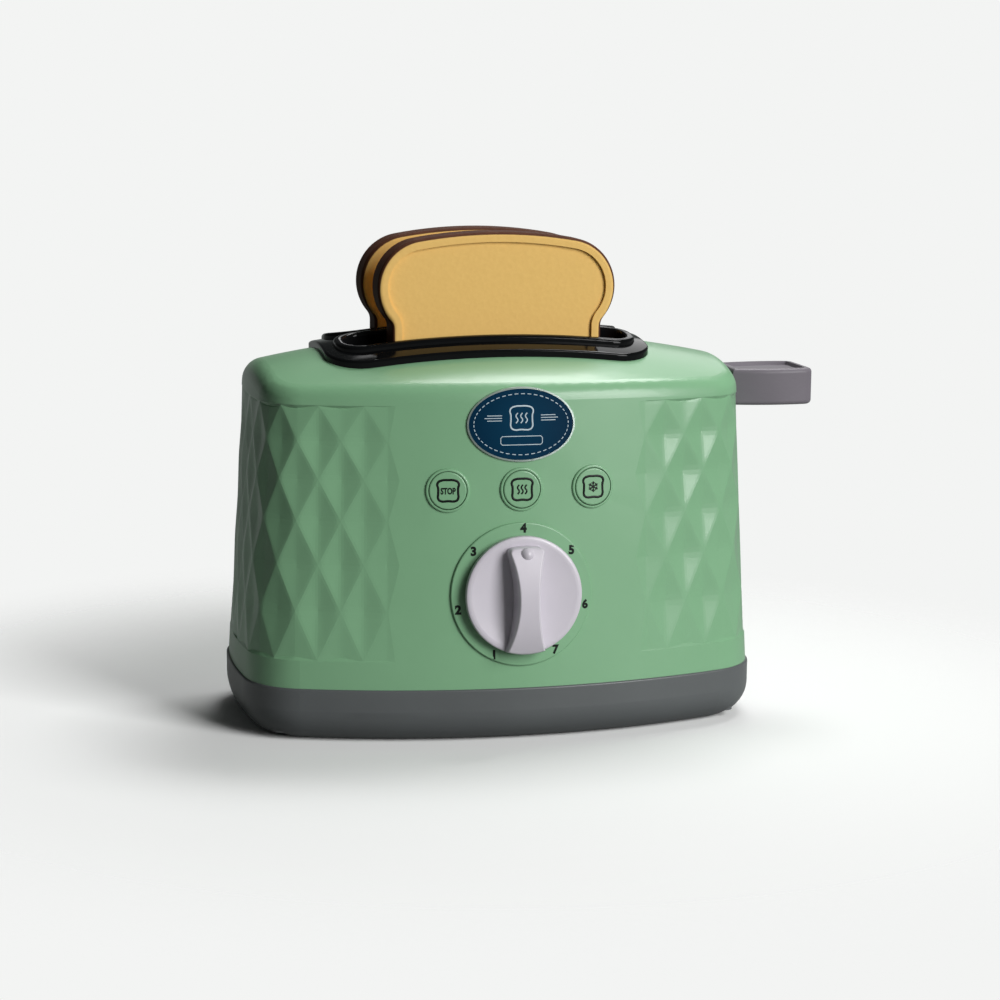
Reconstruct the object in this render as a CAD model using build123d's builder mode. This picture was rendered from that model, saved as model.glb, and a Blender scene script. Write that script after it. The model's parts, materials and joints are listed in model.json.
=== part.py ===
from build123d import *
import math
import os

# Toy toaster with two bread slots. Millimetres, +Z up, the front faces -Y, the lever is on +X.
# The origin is at the centre of the flat underside of the base.

# Casing: plan outline of tangent bows and corners, walls that lean in, crowned top
body_width = 190.0
body_depth = 115.0
front_radius = 230.0
side_radius = 220.0
corner_radius = 25.0
body_taper = 3.2
seam_height = 20.0
crown_radius_x = 418.0
crown_radius_y = 98.0
shoulder_radius = 7.5
shell_wall = 3.2

# Base tub
base_lip = 0.8
base_round = 12.0
base_wall = 2.6
tongue_wall = 1.4
tongue_rise = 4.0

# Dished diamonds round both ends of the casing
facet_pitch = 8.2
facet_columns = 11
facet_bottom = 30.0
facet_drop = 20.2
facet_row_step = 1.0
facet_rows = 6
facet_depth = 1.6
facet_skim = 0.12
facet_end_share = 0.45
facet_fade = {9: 0.75, 10: 0.3}

# Slot frame on the crown; frame, slots and well stand a little away from the lever
slot_shift = -4.2
frame_end = 7.75
frame_border = 11.0
frame_corner = 15.5
frame_lift = 2.4
rim_lift = 4.2
rim_width = 3.4
rim_round = 1.3
frame_round = 1.0
slot_end_play = 8.2
slot_side_play = 2.0
slot_bridge = 8.5
slot_corner = 7.0
throat_wall = 1.5
opening_margin = 4.0
clip_width = 8.0
clip_hook = 0.8
clip_reach = 30.0
clip_thickness = 2.0
clip_drop = 4.0

# Bread slices
slice_width = 87.6
slice_neck = 77.2
slice_height = 88.0
slice_thickness = 13.0
slice_rise = 38.1
front_slice_shift = -1.0
rear_slice_shift = -2.5
slice_lobe_radius = 17.5
slice_crown_radius = 165.0
slice_blend = 5.0
slice_corner = 5.0
slice_rim = 3.6
slice_dish = 1.2
slice_round = 1.8
slice_skin = 2.0
slice_peg = 2.0
slice_peg_reach = 26.0

# Lever, carriage and side slot
lever_travel = 45.0
lever_drop = 20.7
paddle_length = 31.2
paddle_width = 28.0
paddle_thickness = 13.6
paddle_gap = 0.6
paddle_neck = 22.0
paddle_nose = 25.0
paddle_corner = 4.0
paddle_dish = 1.2
paddle_rim = 1.8
paddle_round = 1.6
side_slot_width = 8.0
side_slot_above = 2.5
side_slot_below = 5.5
channel_width = 25.0
channel_corner = 3.0
channel_depth = 1.8
arm_thickness = 5.6
arm_height = 8.0
arm_web = 7.0
arm_socket = 16.0
arm_foot = 10.0
arm_foot_height = 3.0
rod_radius = 2.0
rod_x = 66.0
rod_spread = 28.0
rod_seat = 6.0
rod_boss_top = 12.0
rod_drop = 22.2
rod_overrun = 2.0
head_start = 56.0
head_end = 75.0
head_depth = 40.0
head_height = 10.0
blade_width = 9.0
blade_height = 5.0
blade_tip = 46.0
bush_radius = 4.0
bush_flange = 1.2
bush_collar = 5.2
blade_play = 1.0
blade_clear = 2.1
head_corner = 3.0
lift_wire = 0.9
lift_coil = 3.4
lift_turns = 11

# Bread wells, one under each slot
well_wall = 1.6
well_floor_skin = 2.0
well_drop = 10.2
well_leg = 9.0
well_leg_x = 46.0
well_leg_y = 17.0
leg_pad = 5.0
lug_height = 4.0
lug_width = 10.0

# Badge, buttons and dial on the front
badge_width = 37.6
badge_tall = 25.0
badge_gap = 2.55
badge_brow = 14.3
badge_sink = 0.6
badge_rise = 0.5
bezel_width = 0.6
bezel_rise = 0.7
button_pitch = 26.2
button_radius = 6.6
button_ring = 7.75
button_ring_rise = 0.8
ring_gap = 3.85
button_rise = 1.0
button_gap = 0.25
flange_radius = 8.4
flange_thickness = 1.4
stem_radius = 3.0
stem_overrun = 3.6
guide_wall = 1.8
guide_depth = 7.0
button_edge = 0.5
spring_pocket = 4.0
spring_pocket_radius = 5.2
button_wire = 0.5
button_coil = 4.1
button_turns = 7
plate_thickness = 2.4
plate_setback = 7.0
plate_length = 84.0
plate_height = 20.0
plate_corner = 3.0
plate_boss = 3.2
plate_boss_x = 37.0
plate_boss_z = 6.5
dial_height = 53.5
dial_ring = 25.5
ring_edge = 0.5
dial_rise = 1.0
knob_radius = 20.9
knob_rim = 6.2
knob_dish = 2.6
knob_grip_height = 10.0
knob_edge = 0.5
knob_recess = 1.2
knob_hub = 5.5
knob_bore = 6.0
knob_round = 1.4
knob_gap = 0.6
grip_waist = 3.9
grip_end = 7.2
grip_corner = 2.0
grip_inset = 2.8
grip_narrow = 0.97
grip_end_drop = 3.0
grip_top_round = 0.9
dot_radius = 2.35
dot_rise = 0.7
dot_place = 15.0
spindle_radius = 3.0
bracket_setback = 17.2
bracket_length = 34.0
bracket_height = 28.0
bracket_post = 2.6
detent_radius = 11.0
detent_thickness = 4.0
detent_setback = 5.0
detent_notch = 1.2
click_strip = 0.6
click_width = 3.0
click_length = 23.0
click_clearance = 0.2
notch_rise = 0.8
prong_width = 3.0
prong_height = 2.4
prong_reach = 9.5
clip_ring = 5.0
clip_ring_thickness = 0.8
clip_groove = 0.6
detent_notches = 7
detent_step = 50.0

# Release bar between the STOP button and the carriage
bar_drop = 18.6
bar_radius = 3.0
bar_end = 75.0
ear_x = 32.0
ear_thickness = 3.0
ear_margin = 3.0
ear_mouth = 0.8
bar_collar = 4.2
bar_collar_width = 2.0
finger_width = 6.0
finger_thickness = 3.0
finger_overrun = 3.5
hook_width = 6.0
hook_nose = 4.0
hook_gap = 0.5

# Fasteners and general fits
screw_head = 2.8
screw_head_height = 2.0
screw_shank = 1.3
screw_play = 0.3
screw_recess = 3.3
boss_radius = 4.0
base_boss_rise = 10.0
post_radius = 4.6
post_seat = 6.0
screw_bite = 6.0
post_low = 36.0
post_high = 104.0
post_x = 82.0
post_high_x = 78.0
fit_gap = 0.08
slide_gap = 0.3
seat_gap = 0.2
pilot_spare = 1.0
boss_bite = 0.6

# The slots fit round the slices, and the frame fits round the slots
slot_length = slice_width + 2 * slot_end_play
slot_width = slice_thickness + 2 * slot_side_play
slot_pitch = slot_width + slot_bridge
frame_length = slot_length + 2 * frame_end
frame_width = slot_pitch + slot_width + 2 * frame_border

# Up the front, the dial, buttons, badge and crown stand a named gap above each other
button_height = dial_height + dial_ring + ring_gap + button_ring
badge_height = button_height + button_ring + badge_gap + badge_tall / 2
top_height = badge_height + badge_tall / 2 + badge_brow
bar_height = button_height - bar_drop

# What follows the crown
facet_top = top_height - facet_drop
facet_first_row = (facet_top - facet_bottom) / facet_rows + facet_row_step * (facet_rows - 1) / 2
well_top = top_height - well_drop
rod_top = top_height - rod_drop
slice_top = top_height + slice_rise
lever_height = top_height - lever_drop
side_slot_top = lever_height + arm_height / 2 + side_slot_above
side_slot_bottom = lever_height - lever_travel - arm_height / 2 - side_slot_below


# Plan outline of the casing
front_centre_y = front_radius - body_depth / 2
side_centre_x = body_width / 2 - side_radius


def circles_meet(first, first_radius, second, second_radius):
    """Where two circles cross, on the right hand side of the way from the first centre to the second."""
    span = math.dist(first, second)
    along = (first_radius**2 - second_radius**2 + span**2) / (2 * span)
    across = math.sqrt(first_radius**2 - along**2)
    ahead_x = (second[0] - first[0]) / span
    ahead_y = (second[1] - first[1]) / span
    return (first[0] + along * ahead_x + across * ahead_y, first[1] + along * ahead_y - across * ahead_x)


def corner_centre():
    """Centre of the front right corner: inside the front bow and the side bow, tangent to both."""
    side_middle = (side_centre_x, 0.0)
    front_middle = (0.0, front_centre_y)
    return circles_meet(side_middle, side_radius - corner_radius, front_middle, front_radius - corner_radius)


corner_x, corner_y = corner_centre()
front_angle = math.degrees(math.atan2(corner_x, front_centre_y - corner_y))
side_angle = math.degrees(math.atan2(-corner_y, corner_x - side_centre_x))
corner_angle = 90 - front_angle - side_angle


def inset_at(height):
    """How far the leaning wall has moved in at a height."""
    return (height - seam_height) * math.tan(math.radians(body_taper))


def front_y(x, height):
    """Place of the outer front wall."""
    radius = front_radius - inset_at(height)
    return front_centre_y - math.sqrt(radius**2 - x**2)


def side_x(height):
    """Place of the outer side wall at the middle of the side."""
    return body_width / 2 - inset_at(height)


def crown_z(x, y, grow=0.0):
    """Height of the crowned top, moved outwards by grow."""
    ring = crown_radius_y - crown_radius_x + math.sqrt((crown_radius_x + grow) ** 2 - x**2)
    return top_height - crown_radius_y + math.sqrt(ring**2 - y**2)


def plan_outline(grow):
    """Plan shape of the casing at the seam, moved outwards by grow."""
    with BuildSketch() as plan:
        with BuildLine():
            for turn, way in ((0, 1), (180, -1)):
                side, front = side_radius + grow, front_radius + grow
                corner = corner_radius + grow
                CenterArc((way * side_centre_x, 0), side, turn - side_angle, 2 * side_angle)
                CenterArc((way * corner_x, -way * corner_y), corner, turn + side_angle, corner_angle)
                CenterArc((0, -way * front_centre_y), front, turn + 90 - front_angle, 2 * front_angle)
                CenterArc((-way * corner_x, -way * corner_y), corner, turn + 90 + front_angle, corner_angle)
        make_face()
    return plan.sketch


def crown_form(grow):
    """Solid barrel whose outer skin is the crowned top, moved outwards by grow."""
    axis_height = top_height - crown_radius_y
    radius = crown_radius_x + grow
    half = body_width * 0.6
    low_middle = axis_height - crown_radius_y - grow
    low_end = low_middle + radius - math.sqrt(radius**2 - half**2)
    with BuildPart() as crown:
        with BuildSketch(Plane.XZ):
            with BuildLine():
                ThreePointArc((-half, low_end), (0, low_middle), (half, low_end))
                Polyline((half, low_end), (half, axis_height), (-half, axis_height), (-half, low_end))
            make_face()
        revolve(axis=Axis((0, 0, axis_height), (1, 0, 0)), revolution_arc=360)
    return crown.part


def wall_form(grow):
    """Leaning walls without the crowned top, moved outwards by grow."""
    with BuildPart() as walls:
        with BuildSketch(Plane.XY.offset(seam_height)):
            add(plan_outline(grow))
        extrude(amount=top_height, taper=body_taper)
    return walls.part


def body_form(grow, edge):
    """Leaning walls under the crowned top with a rounded shoulder, moved outwards by grow."""
    with BuildPart() as form:
        add(wall_form(grow))
        add(crown_form(grow), mode=Mode.INTERSECT)
        top_face = form.faces().sort_by(Axis.Z)[-1]
        fillet(top_face.edges(), edge)
    return form.part


def front_plane(height, rise):
    """Plane square to the front wall at a height on the centre line, rise outside the wall."""
    lean = math.radians(body_taper)
    outward = (0, -math.cos(lean), math.sin(lean))
    start = (0, front_y(0, height) + rise * outward[1], height + rise * outward[2])
    return Plane(origin=start, x_dir=(1, 0, 0), z_dir=outward)


def slot_rows():
    """Centre lines of the two bread slots."""
    return (-slot_pitch / 2, slot_pitch / 2)


def button_columns():
    """The three buttons by name with their places along X."""
    return {"stop": -button_pitch, "reheat": 0.0, "defrost": button_pitch}


def front_rod(x, height, radius, start_y, end_y):
    """Round bar along Y between two places."""
    with BuildPart() as rod:
        with BuildSketch(Plane.XZ.offset(-start_y)):
            with Locations((x, height)):
                Circle(radius)
        extrude(amount=start_y - end_y)
    return rod.part


def upright(x, y, radius, low, high):
    """Round bar along Z between two heights."""
    with BuildPart() as rod:
        with BuildSketch(Plane.XY.offset(low)):
            with Locations((x, y)):
                Circle(radius)
        extrude(amount=high - low)
    return rod.part


def screw(length):
    """Pan head screw, head upwards from the seat at the origin and shank downwards, with a cross recess."""
    with BuildPart() as one:
        with BuildSketch():
            Circle(screw_head)
        extrude(amount=screw_head_height)
        fillet(one.edges().sort_by(Axis.Z)[-1], screw_head_height * 0.4)
        with BuildSketch(Plane.XY.offset(screw_head_height)):
            Rectangle(screw_head, screw_head * 0.2)
            Rectangle(screw_head * 0.2, screw_head)
        extrude(amount=-screw_head_height * 0.5, mode=Mode.SUBTRACT)
        with BuildSketch():
            Circle(screw_shank)
        extrude(amount=-length)
        chamfer(one.edges().sort_by(Axis.Z)[0], screw_shank * 0.4)
    return one.part


def coil(radius, wire, turns, length):
    """Open helical compression spring standing on the origin along +Z."""
    path = Helix(pitch=length / turns, height=length, radius=radius)
    with BuildPart() as spring:
        with BuildSketch(Plane(origin=path @ 0, z_dir=path % 0)):
            Circle(wire / 2)
        sweep(path=path, is_frenet=True)
    return spring.part


def facet_levels():
    """Heights of the rows of facet corners, closer together towards the top."""
    levels = [facet_bottom]
    for row in range(facet_rows):
        levels.append(levels[-1] + facet_first_row - row * facet_row_step)
    return levels


def outline_station(arc):
    """Point and outward direction on the plan outline, by arc length from the middle of the +X side."""
    side_length = side_radius * math.radians(side_angle)
    corner_length = corner_radius * math.radians(corner_angle)
    distance = abs(arc)
    if distance < side_length:
        turn, radius, centre = distance / side_radius, side_radius, (side_centre_x, 0)
    elif distance < side_length + corner_length:
        turn = math.radians(side_angle) + (distance - side_length) / corner_radius
        radius, centre = corner_radius, (corner_x, corner_y)
    else:
        past_corner = distance - side_length - corner_length
        turn = math.radians(side_angle + corner_angle) + past_corner / front_radius
        radius, centre = front_radius, (0, front_centre_y)
    side = -1 if arc > 0 else 1
    outward = (math.cos(turn), side * math.sin(turn))
    point = (centre[0] + radius * math.cos(turn), side * (-centre[1] + radius * math.sin(turn)))
    return point, outward


def facet_corner(column, row, level):
    """Corner of the facet net: ridge corners skim the wall, the others are sunk, less so at the ends."""
    point, outward = outline_station(column * facet_pitch)
    ridge = (column + row) % 2 == 1
    place = abs(column)
    if place == facet_columns:
        sunk = -facet_skim * 4
    elif ridge:
        sunk = facet_skim * facet_fade.get(place, 1.0)
    else:
        sunk = facet_depth * facet_fade.get(place, 1.0)
        if row in (0, facet_rows):
            sunk *= facet_end_share
    inset = inset_at(level) + sunk
    return (point[0] - outward[0] * inset, point[1] - outward[1] * inset, level)


def facet_cutter():
    """Closed body outside the facet net of the +X end: taking it away leaves the dished diamonds."""
    levels = facet_levels()
    columns = range(-facet_columns, facet_columns + 1)
    net = {}
    for column in columns:
        for row, level in enumerate(levels):
            net[column, row] = facet_corner(column, row, level)
    loops = []
    for column in columns[:-1]:
        for row in range(facet_rows):
            near, far = net[column, row], net[column + 1, row + 1]
            side, rise = net[column + 1, row], net[column, row + 1]
            if (column + row) % 2 == 1:
                loops += [(near, side, far), (near, far, rise)]
            else:
                loops += [(near, side, rise), (side, far, rise)]
    reach = body_width
    outer = []
    for column in (-facet_columns, facet_columns):
        point, outward = outline_station(column * facet_pitch)
        outer.append((point[0] + outward[0] * reach, point[1] + outward[1] * reach))
    rear, front = outer
    ring = [front, (rear[0] + reach, front[1]), (rear[0] + reach, rear[1]), rear]
    for row, level in ((0, levels[0]), (facet_rows, levels[-1])):
        loops.append([net[column, row] for column in columns] + [(x, y, level) for x, y in ring])
    for first, second in zip(ring, ring[1:]):
        loops.append([(*first, levels[0]), (*second, levels[0]), (*second, levels[-1]), (*first, levels[-1])])
    for column, corner in ((-facet_columns, rear), (facet_columns, front)):
        upward = [net[column, row] for row in range(facet_rows + 1)]
        loops.append(upward + [(*corner, levels[-1]), (*corner, levels[0])])
    faces = [Face(Wire.make_polygon(loop)) for loop in loops]
    return Solid(Shell(faces))


def front_layer(profile, low, high):
    """Layer of the front wall between two offsets, inside an outline drawn in X and Z."""
    with BuildPart() as layer:
        with BuildSketch(Plane.XZ):
            add(profile)
        extrude(amount=body_depth)
        add(wall_form(high), mode=Mode.INTERSECT)
        add(wall_form(low), mode=Mode.SUBTRACT)
    return layer.part


def raised_ring(x, height, radius, rise):
    """Raised pad round a control, with its front edge rounded."""
    with BuildPart() as ring:
        add(front_layer(disc(x, height, radius), -shell_wall / 2, rise))
        fillet(ring.faces().sort_by(Axis.Y)[0].edges(), ring_edge)
    return ring.part


def disc(x, height, radius, bore=0.0):
    """Disc or ring outline in X and Z."""
    with BuildSketch() as outline:
        with Locations((x, height)):
            Circle(radius)
            if bore:
                Circle(bore, mode=Mode.SUBTRACT)
    return outline.sketch


def oval(grow):
    """Outline of the badge in X and Z."""
    with BuildSketch() as outline:
        with Locations((0, badge_height)):
            Ellipse(badge_width / 2 + grow, badge_tall / 2 + grow)
    return outline.sketch


def block(x_range, y_range, z_range):
    """Plain block between two corners."""
    (x0, x1), (y0, y1), (z0, z1) = x_range, y_range, z_range
    return Solid.make_box(x1 - x0, y1 - y0, z1 - z0, Plane((x0, y0, z0)))


# Places that several pieces share
guide_back = front_y(0, button_height) + guide_depth
plate_front = guide_back + plate_setback
plate_back = plate_front + plate_thickness
flange_front = guide_back + seat_gap
flange_back = flange_front + flange_thickness
stem_end = plate_back + stem_overrun
bar_y = stem_end + seat_gap + finger_thickness / 2
dial_plane = front_plane(dial_height, 0)
slice_bottom = slice_top - slice_height
blade_top = slice_bottom - seat_gap
head_low = blade_top - head_height
well_floor = blade_top - lever_travel - blade_height - blade_clear
base_boss_reach = (corner_radius - shell_wall - boss_radius + boss_bite) * math.cos(math.pi / 4)
base_boss_x = corner_x + base_boss_reach
base_boss_y = -corner_y + base_boss_reach
base_corners = [(sx * base_boss_x, sy * base_boss_y) for sx in (-1, 1) for sy in (-1, 1)]
leg_corners = [(slot_shift + sx * well_leg_x, sy * well_leg_y) for sx in (-1, 1) for sy in (-1, 1)]
rod_places = [(rod_x, -rod_spread / 2), (rod_x, rod_spread / 2)]
post_places = [(-post_x, post_low), (post_x, post_low), (-post_high_x, post_high)]
plate_corners = [(sx * plate_boss_x, button_height + sz * plate_boss_z) for sx in (-1, 1) for sz in (-1, 1)]
bracket_corners = [
    (sx * (bracket_length / 2 - bracket_post), sy * (bracket_height / 2 - bracket_post))
    for sx in (-1, 1)
    for sy in (-1, 1)
]


def shell_posts():
    """Posts, bosses and button guides that stand inside the casing and stop in its wall."""
    with BuildPart() as posts:
        for x, height in post_places:
            add(front_rod(x, height, post_radius, body_depth / 2, -body_depth / 2))
        for x, y in base_corners:
            add(upright(x, y, boss_radius, seam_height, seam_height + base_boss_rise))
        for x in button_columns().values():
            outer = button_radius + button_gap + guide_wall
            add(front_rod(x, button_height, outer, guide_back, -body_depth / 2))
        for x, height in plate_corners:
            add(front_rod(x, height, plate_boss, plate_front, -body_depth / 2))
        with BuildSketch(dial_plane.offset(-bracket_setback)):
            with Locations(*bracket_corners):
                Circle(bracket_post)
        extrude(amount=bracket_setback)
        add(body_form(-shell_wall / 2, shoulder_radius - shell_wall / 2), mode=Mode.INTERSECT)
    return posts.part


def side_channel():
    """Shallow channel down the +X side in which the paddle travels."""
    channel_height = side_slot_top - side_slot_bottom + side_slot_width / 2
    with BuildPart() as channel:
        with BuildSketch(Plane.YZ.offset(body_width / 4)):
            with Locations((0, (side_slot_top + side_slot_bottom) / 2)):
                RectangleRounded(channel_width, channel_height, channel_corner)
        extrude(amount=body_width / 2)
        add(wall_form(-channel_depth), mode=Mode.SUBTRACT)
    return channel.part


def side_slot():
    """Slot for the lever arm through the +X side."""
    with BuildPart() as slot:
        with BuildSketch(Plane.YZ.offset(body_width / 4)):
            with Locations((0, (side_slot_top + side_slot_bottom) / 2)):
                SlotOverall(side_slot_top - side_slot_bottom, side_slot_width, rotation=90)
        extrude(amount=body_width / 2)
    return slot.part


def top_opening():
    """Hole in the crown under the slot frame."""
    with BuildPart() as opening:
        with BuildSketch(Plane.XY.offset(post_high)):
            with Locations((slot_shift, 0)):
                RectangleRounded(
                    frame_length - 2 * opening_margin,
                    frame_width - 2 * opening_margin,
                    frame_corner - opening_margin,
                )
        extrude(amount=top_height)
    return opening.part


def casing():
    """Whole green casing before it is parted: facets, raised rings, hollow, posts and holes."""
    facets = facet_cutter()
    with BuildPart() as shell:
        add(body_form(0, shoulder_radius))
        add(facets, mode=Mode.SUBTRACT)
        add(facets.mirror(Plane.YZ), mode=Mode.SUBTRACT)
        add(raised_ring(0, dial_height, dial_ring, dial_rise))
        for x in button_columns().values():
            add(raised_ring(x, button_height, button_ring, button_ring_rise))
        add(body_form(-shell_wall, shoulder_radius - shell_wall), mode=Mode.SUBTRACT)
        add(shell_posts())
        add(side_channel(), mode=Mode.SUBTRACT)
        add(side_slot(), mode=Mode.SUBTRACT)
        add(top_opening(), mode=Mode.SUBTRACT)
        add(front_layer(oval(bezel_width), -badge_sink, body_depth), mode=Mode.SUBTRACT)
        for x in button_columns().values():
            hole = button_radius + button_gap
            add(front_rod(x, button_height, hole, guide_back, -body_depth), mode=Mode.SUBTRACT)
        for x, height in plate_corners:
            pilot = front_rod(x, height, screw_shank + fit_gap, plate_front, plate_front - screw_bite)
            add(pilot, mode=Mode.SUBTRACT)
        for x, y in base_corners:
            pilot_top = seam_height + base_boss_rise - pilot_spare
            pilot = upright(x, y, screw_shank + fit_gap, seam_height, pilot_top)
            add(pilot, mode=Mode.SUBTRACT)
        for x, height in post_places:
            add(front_rod(x, height, screw_recess, body_depth, post_seat), mode=Mode.SUBTRACT)
            add(front_rod(x, height, screw_shank + screw_play, post_seat, 0), mode=Mode.SUBTRACT)
            add(front_rod(x, height, screw_shank + fit_gap, 0, -2 * screw_bite), mode=Mode.SUBTRACT)
        with BuildSketch(dial_plane.offset(-bracket_setback)):
            with Locations(*bracket_corners):
                Circle(screw_shank + fit_gap)
        extrude(amount=screw_bite, mode=Mode.SUBTRACT)
        with BuildSketch(dial_plane.offset(-bracket_setback)):
            Circle(spindle_radius + screw_play)
        extrude(amount=2 * bracket_setback, mode=Mode.SUBTRACT)
    return shell.part


def base_hollow():
    """Room inside the base, rounded like its outside."""
    with BuildPart() as hollow:
        with BuildSketch(Plane.XY.offset(base_wall)):
            add(plan_outline(-shell_wall - slide_gap - tongue_wall))
        extrude(amount=seam_height + tongue_rise)
        fillet(hollow.faces().sort_by(Axis.Z)[0].edges(), base_round - base_wall)
    return hollow.part


def base_tub():
    """Grey base: rounded below, hollow above, with a tongue inside the casing and all screw seats."""
    foot = seam_height
    with BuildPart() as tub:
        with BuildSketch():
            add(plan_outline(base_lip))
        extrude(amount=foot)
        fillet(tub.faces().sort_by(Axis.Z)[0].edges(), base_round)
        fillet(tub.faces().sort_by(Axis.Z)[-1].edges(), base_lip * 0.8)
        with BuildSketch(Plane.XY.offset(foot)):
            add(plan_outline(-shell_wall - slide_gap))
        extrude(amount=tongue_rise)
        add(base_hollow(), mode=Mode.SUBTRACT)
        for x, y in base_corners:
            clear = boss_radius + slide_gap
            add(upright(x, y, clear, foot, foot + 2 * tongue_rise), mode=Mode.SUBTRACT)
            add(upright(x, y, boss_radius, base_wall, foot))
        for x, y in leg_corners:
            add(upright(x, y, well_leg * 0.75, base_wall / 2, leg_pad))
        for x, y in rod_places:
            add(upright(x, y, boss_radius, base_wall / 2, rod_boss_top))
            add(upright(x, y, rod_radius, rod_seat, rod_boss_top), mode=Mode.SUBTRACT)
        for x, y in base_corners:
            add(upright(x, y, screw_shank + screw_play, 0, foot), mode=Mode.SUBTRACT)
            add(upright(x, y, screw_recess, 0, leg_pad), mode=Mode.SUBTRACT)
        for x, y in leg_corners:
            add(upright(x, y, screw_shank + screw_play, 0, leg_pad), mode=Mode.SUBTRACT)
            add(upright(x, y, screw_recess, 0, base_wall), mode=Mode.SUBTRACT)
    return tub.part


def slot_outline(grow, rows=slot_rows()):
    """Plan outline of the bread slots, moved outwards by grow."""
    with BuildSketch() as outline:
        with Locations(*[(slot_shift, y) for y in rows]):
            RectangleRounded(slot_length + 2 * grow, slot_width + 2 * grow, slot_corner + grow)
    return outline.sketch


def crown_layer(profile, low, lift):
    """Prism of a plan outline that ends at the crowned surface moved outwards by lift."""
    with BuildPart() as layer:
        with BuildSketch(Plane.XY.offset(low)):
            add(profile)
        extrude(amount=top_height)
        add(crown_form(lift), mode=Mode.INTERSECT)
    return layer.part


def frame_clip():
    """Snap clip of the slot frame on the +X +Y side, hooked under the casing."""
    face = frame_width / 2 - opening_margin - seat_gap
    farthest = abs(slot_shift) + clip_reach + clip_width / 2
    hook_top = crown_z(farthest, face + clip_hook, -shell_wall) - seat_gap
    low = hook_top - clip_drop
    top = crown_z(farthest, face) + frame_lift / 2
    with BuildPart() as clip:
        with BuildSketch(Plane.YZ.offset(slot_shift + clip_reach - clip_width / 2)):
            with BuildLine():
                Polyline(
                    (face - clip_thickness, low),
                    (face, low),
                    (face + clip_hook, hook_top - clip_hook),
                    (face + clip_hook, hook_top),
                    (face, hook_top),
                    (face, top),
                    (face - clip_thickness, top),
                    close=True,
                )
            make_face()
        extrude(amount=clip_width)
    return clip.part


def on_slot_rim(edge):
    """Whether an edge runs round the top of a slot."""
    middle = edge @ 0.5
    along = abs(middle.X - slot_shift)
    across = min(abs(middle.Y - row) for row in slot_rows())
    inside = along < slot_length / 2 + rim_width / 4 and across < slot_width / 2 + rim_width / 4
    return inside and middle.Z > crown_z(middle.X, middle.Y) + rim_lift * 0.9


def slot_rim(row):
    """Raised rim round one slot before the slot is cut, rounded along its outer edge."""
    with BuildPart() as rim:
        add(crown_layer(slot_outline(rim_width, [row]), well_top, rim_lift))
        fillet(rim.faces().sort_by(Axis.Z)[-1].edges(), rim_round)
    return rim.part


def frame_cover():
    """Plate of the slot frame with both rims, lying on the crown."""
    with BuildSketch() as plate:
        with Locations((slot_shift, 0)):
            RectangleRounded(frame_length, frame_width, frame_corner)
    with BuildPart() as cover:
        add(crown_layer(plate.sketch, well_top, frame_lift))
        fillet(cover.faces().sort_by(Axis.Z)[-1].edges(), frame_round)
        for row in slot_rows():
            add(slot_rim(row))
        add(crown_form(0), mode=Mode.SUBTRACT)
    return cover.part


def slot_frame():
    """Glossy trim on the crown: plate with a raised rim round each slot, throats and four clips."""
    clip = frame_clip()
    with BuildPart() as frame:
        add(frame_cover())
        add(crown_layer(slot_outline(throat_wall), well_top + slide_gap, frame_lift / 2))
        for end in (clip, clip.mirror(Plane.YZ.offset(slot_shift))):
            add(end)
            add(end.mirror(Plane.XZ))
        with BuildSketch(Plane.XY.offset(well_top)):
            add(slot_outline(0))
        extrude(amount=top_height, mode=Mode.SUBTRACT)
        fillet([edge for edge in frame.edges() if on_slot_rim(edge)], rim_round)
    return frame.part


def bread_well(side):
    """Liner under one slot: pocket, slit for the lift blade, rod lug and two legs; side -1 is in front."""
    row = side * slot_pitch / 2
    low = well_floor - well_floor_skin
    end = slot_shift + slot_length / 2
    lug_top = rod_top - rod_overrun
    slit_half = blade_width / 2 + blade_play
    with BuildPart() as well:
        with BuildSketch(Plane.XY.offset(low)):
            add(slot_outline(well_wall, [row]))
        extrude(amount=well_top - low)
        with BuildSketch(Plane.XY.offset(well_floor)):
            add(slot_outline(0, [row]))
        extrude(amount=well_top, mode=Mode.SUBTRACT)
        slit_width = (row - slit_half, row + slit_half)
        slit = block((end - slot_corner, end + well_wall), slit_width, (well_floor, blade_top + blade_play))
        add(slit, mode=Mode.SUBTRACT)
        for x, y in rod_places:
            if y * side > 0:
                lug_length = (end, x + lug_width / 2)
                lug_across = (y - lug_width / 2, y + lug_width / 2)
                add(block(lug_length, lug_across, (lug_top - lug_height, lug_top)))
                add(upright(x, y, rod_radius, lug_top - lug_height, lug_top), mode=Mode.SUBTRACT)
        for x, y in leg_corners:
            if y * side > 0:
                half = well_leg / 2
                leg_height = (leg_pad, low + well_floor_skin / 2)
                add(block((x - half, x + half), (y - half, y + half), leg_height))
                pilot_top = leg_pad + screw_bite + pilot_spare
                add(upright(x, y, screw_shank + fit_gap, leg_pad, pilot_top), mode=Mode.SUBTRACT)
    return well.part


def lift_cradle():
    """Carriage: a head on the guide rods and two blades that carry the slices."""
    with BuildPart() as cradle:
        with BuildSketch(Plane.XY.offset(head_low)):
            with Locations(((head_start + head_end) / 2, 0)):
                RectangleRounded(head_end - head_start, head_depth, head_corner)
        extrude(amount=head_height)
        for row in slot_rows():
            y_range = (row - blade_width / 2, row + blade_width / 2)
            x_range = (slot_shift - blade_tip, head_start + head_corner)
            add(block(x_range, y_range, (blade_top - blade_height, blade_top)))
        for x, y in rod_places:
            add(upright(x, y, bush_radius, head_low, blade_top), mode=Mode.SUBTRACT)
        for x in lever_screw_places:
            pilot_low = blade_top - screw_bite - pilot_spare
            add(upright(x, 0, screw_shank + fit_gap, pilot_low, blade_top), mode=Mode.SUBTRACT)
    return cradle.part


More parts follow.
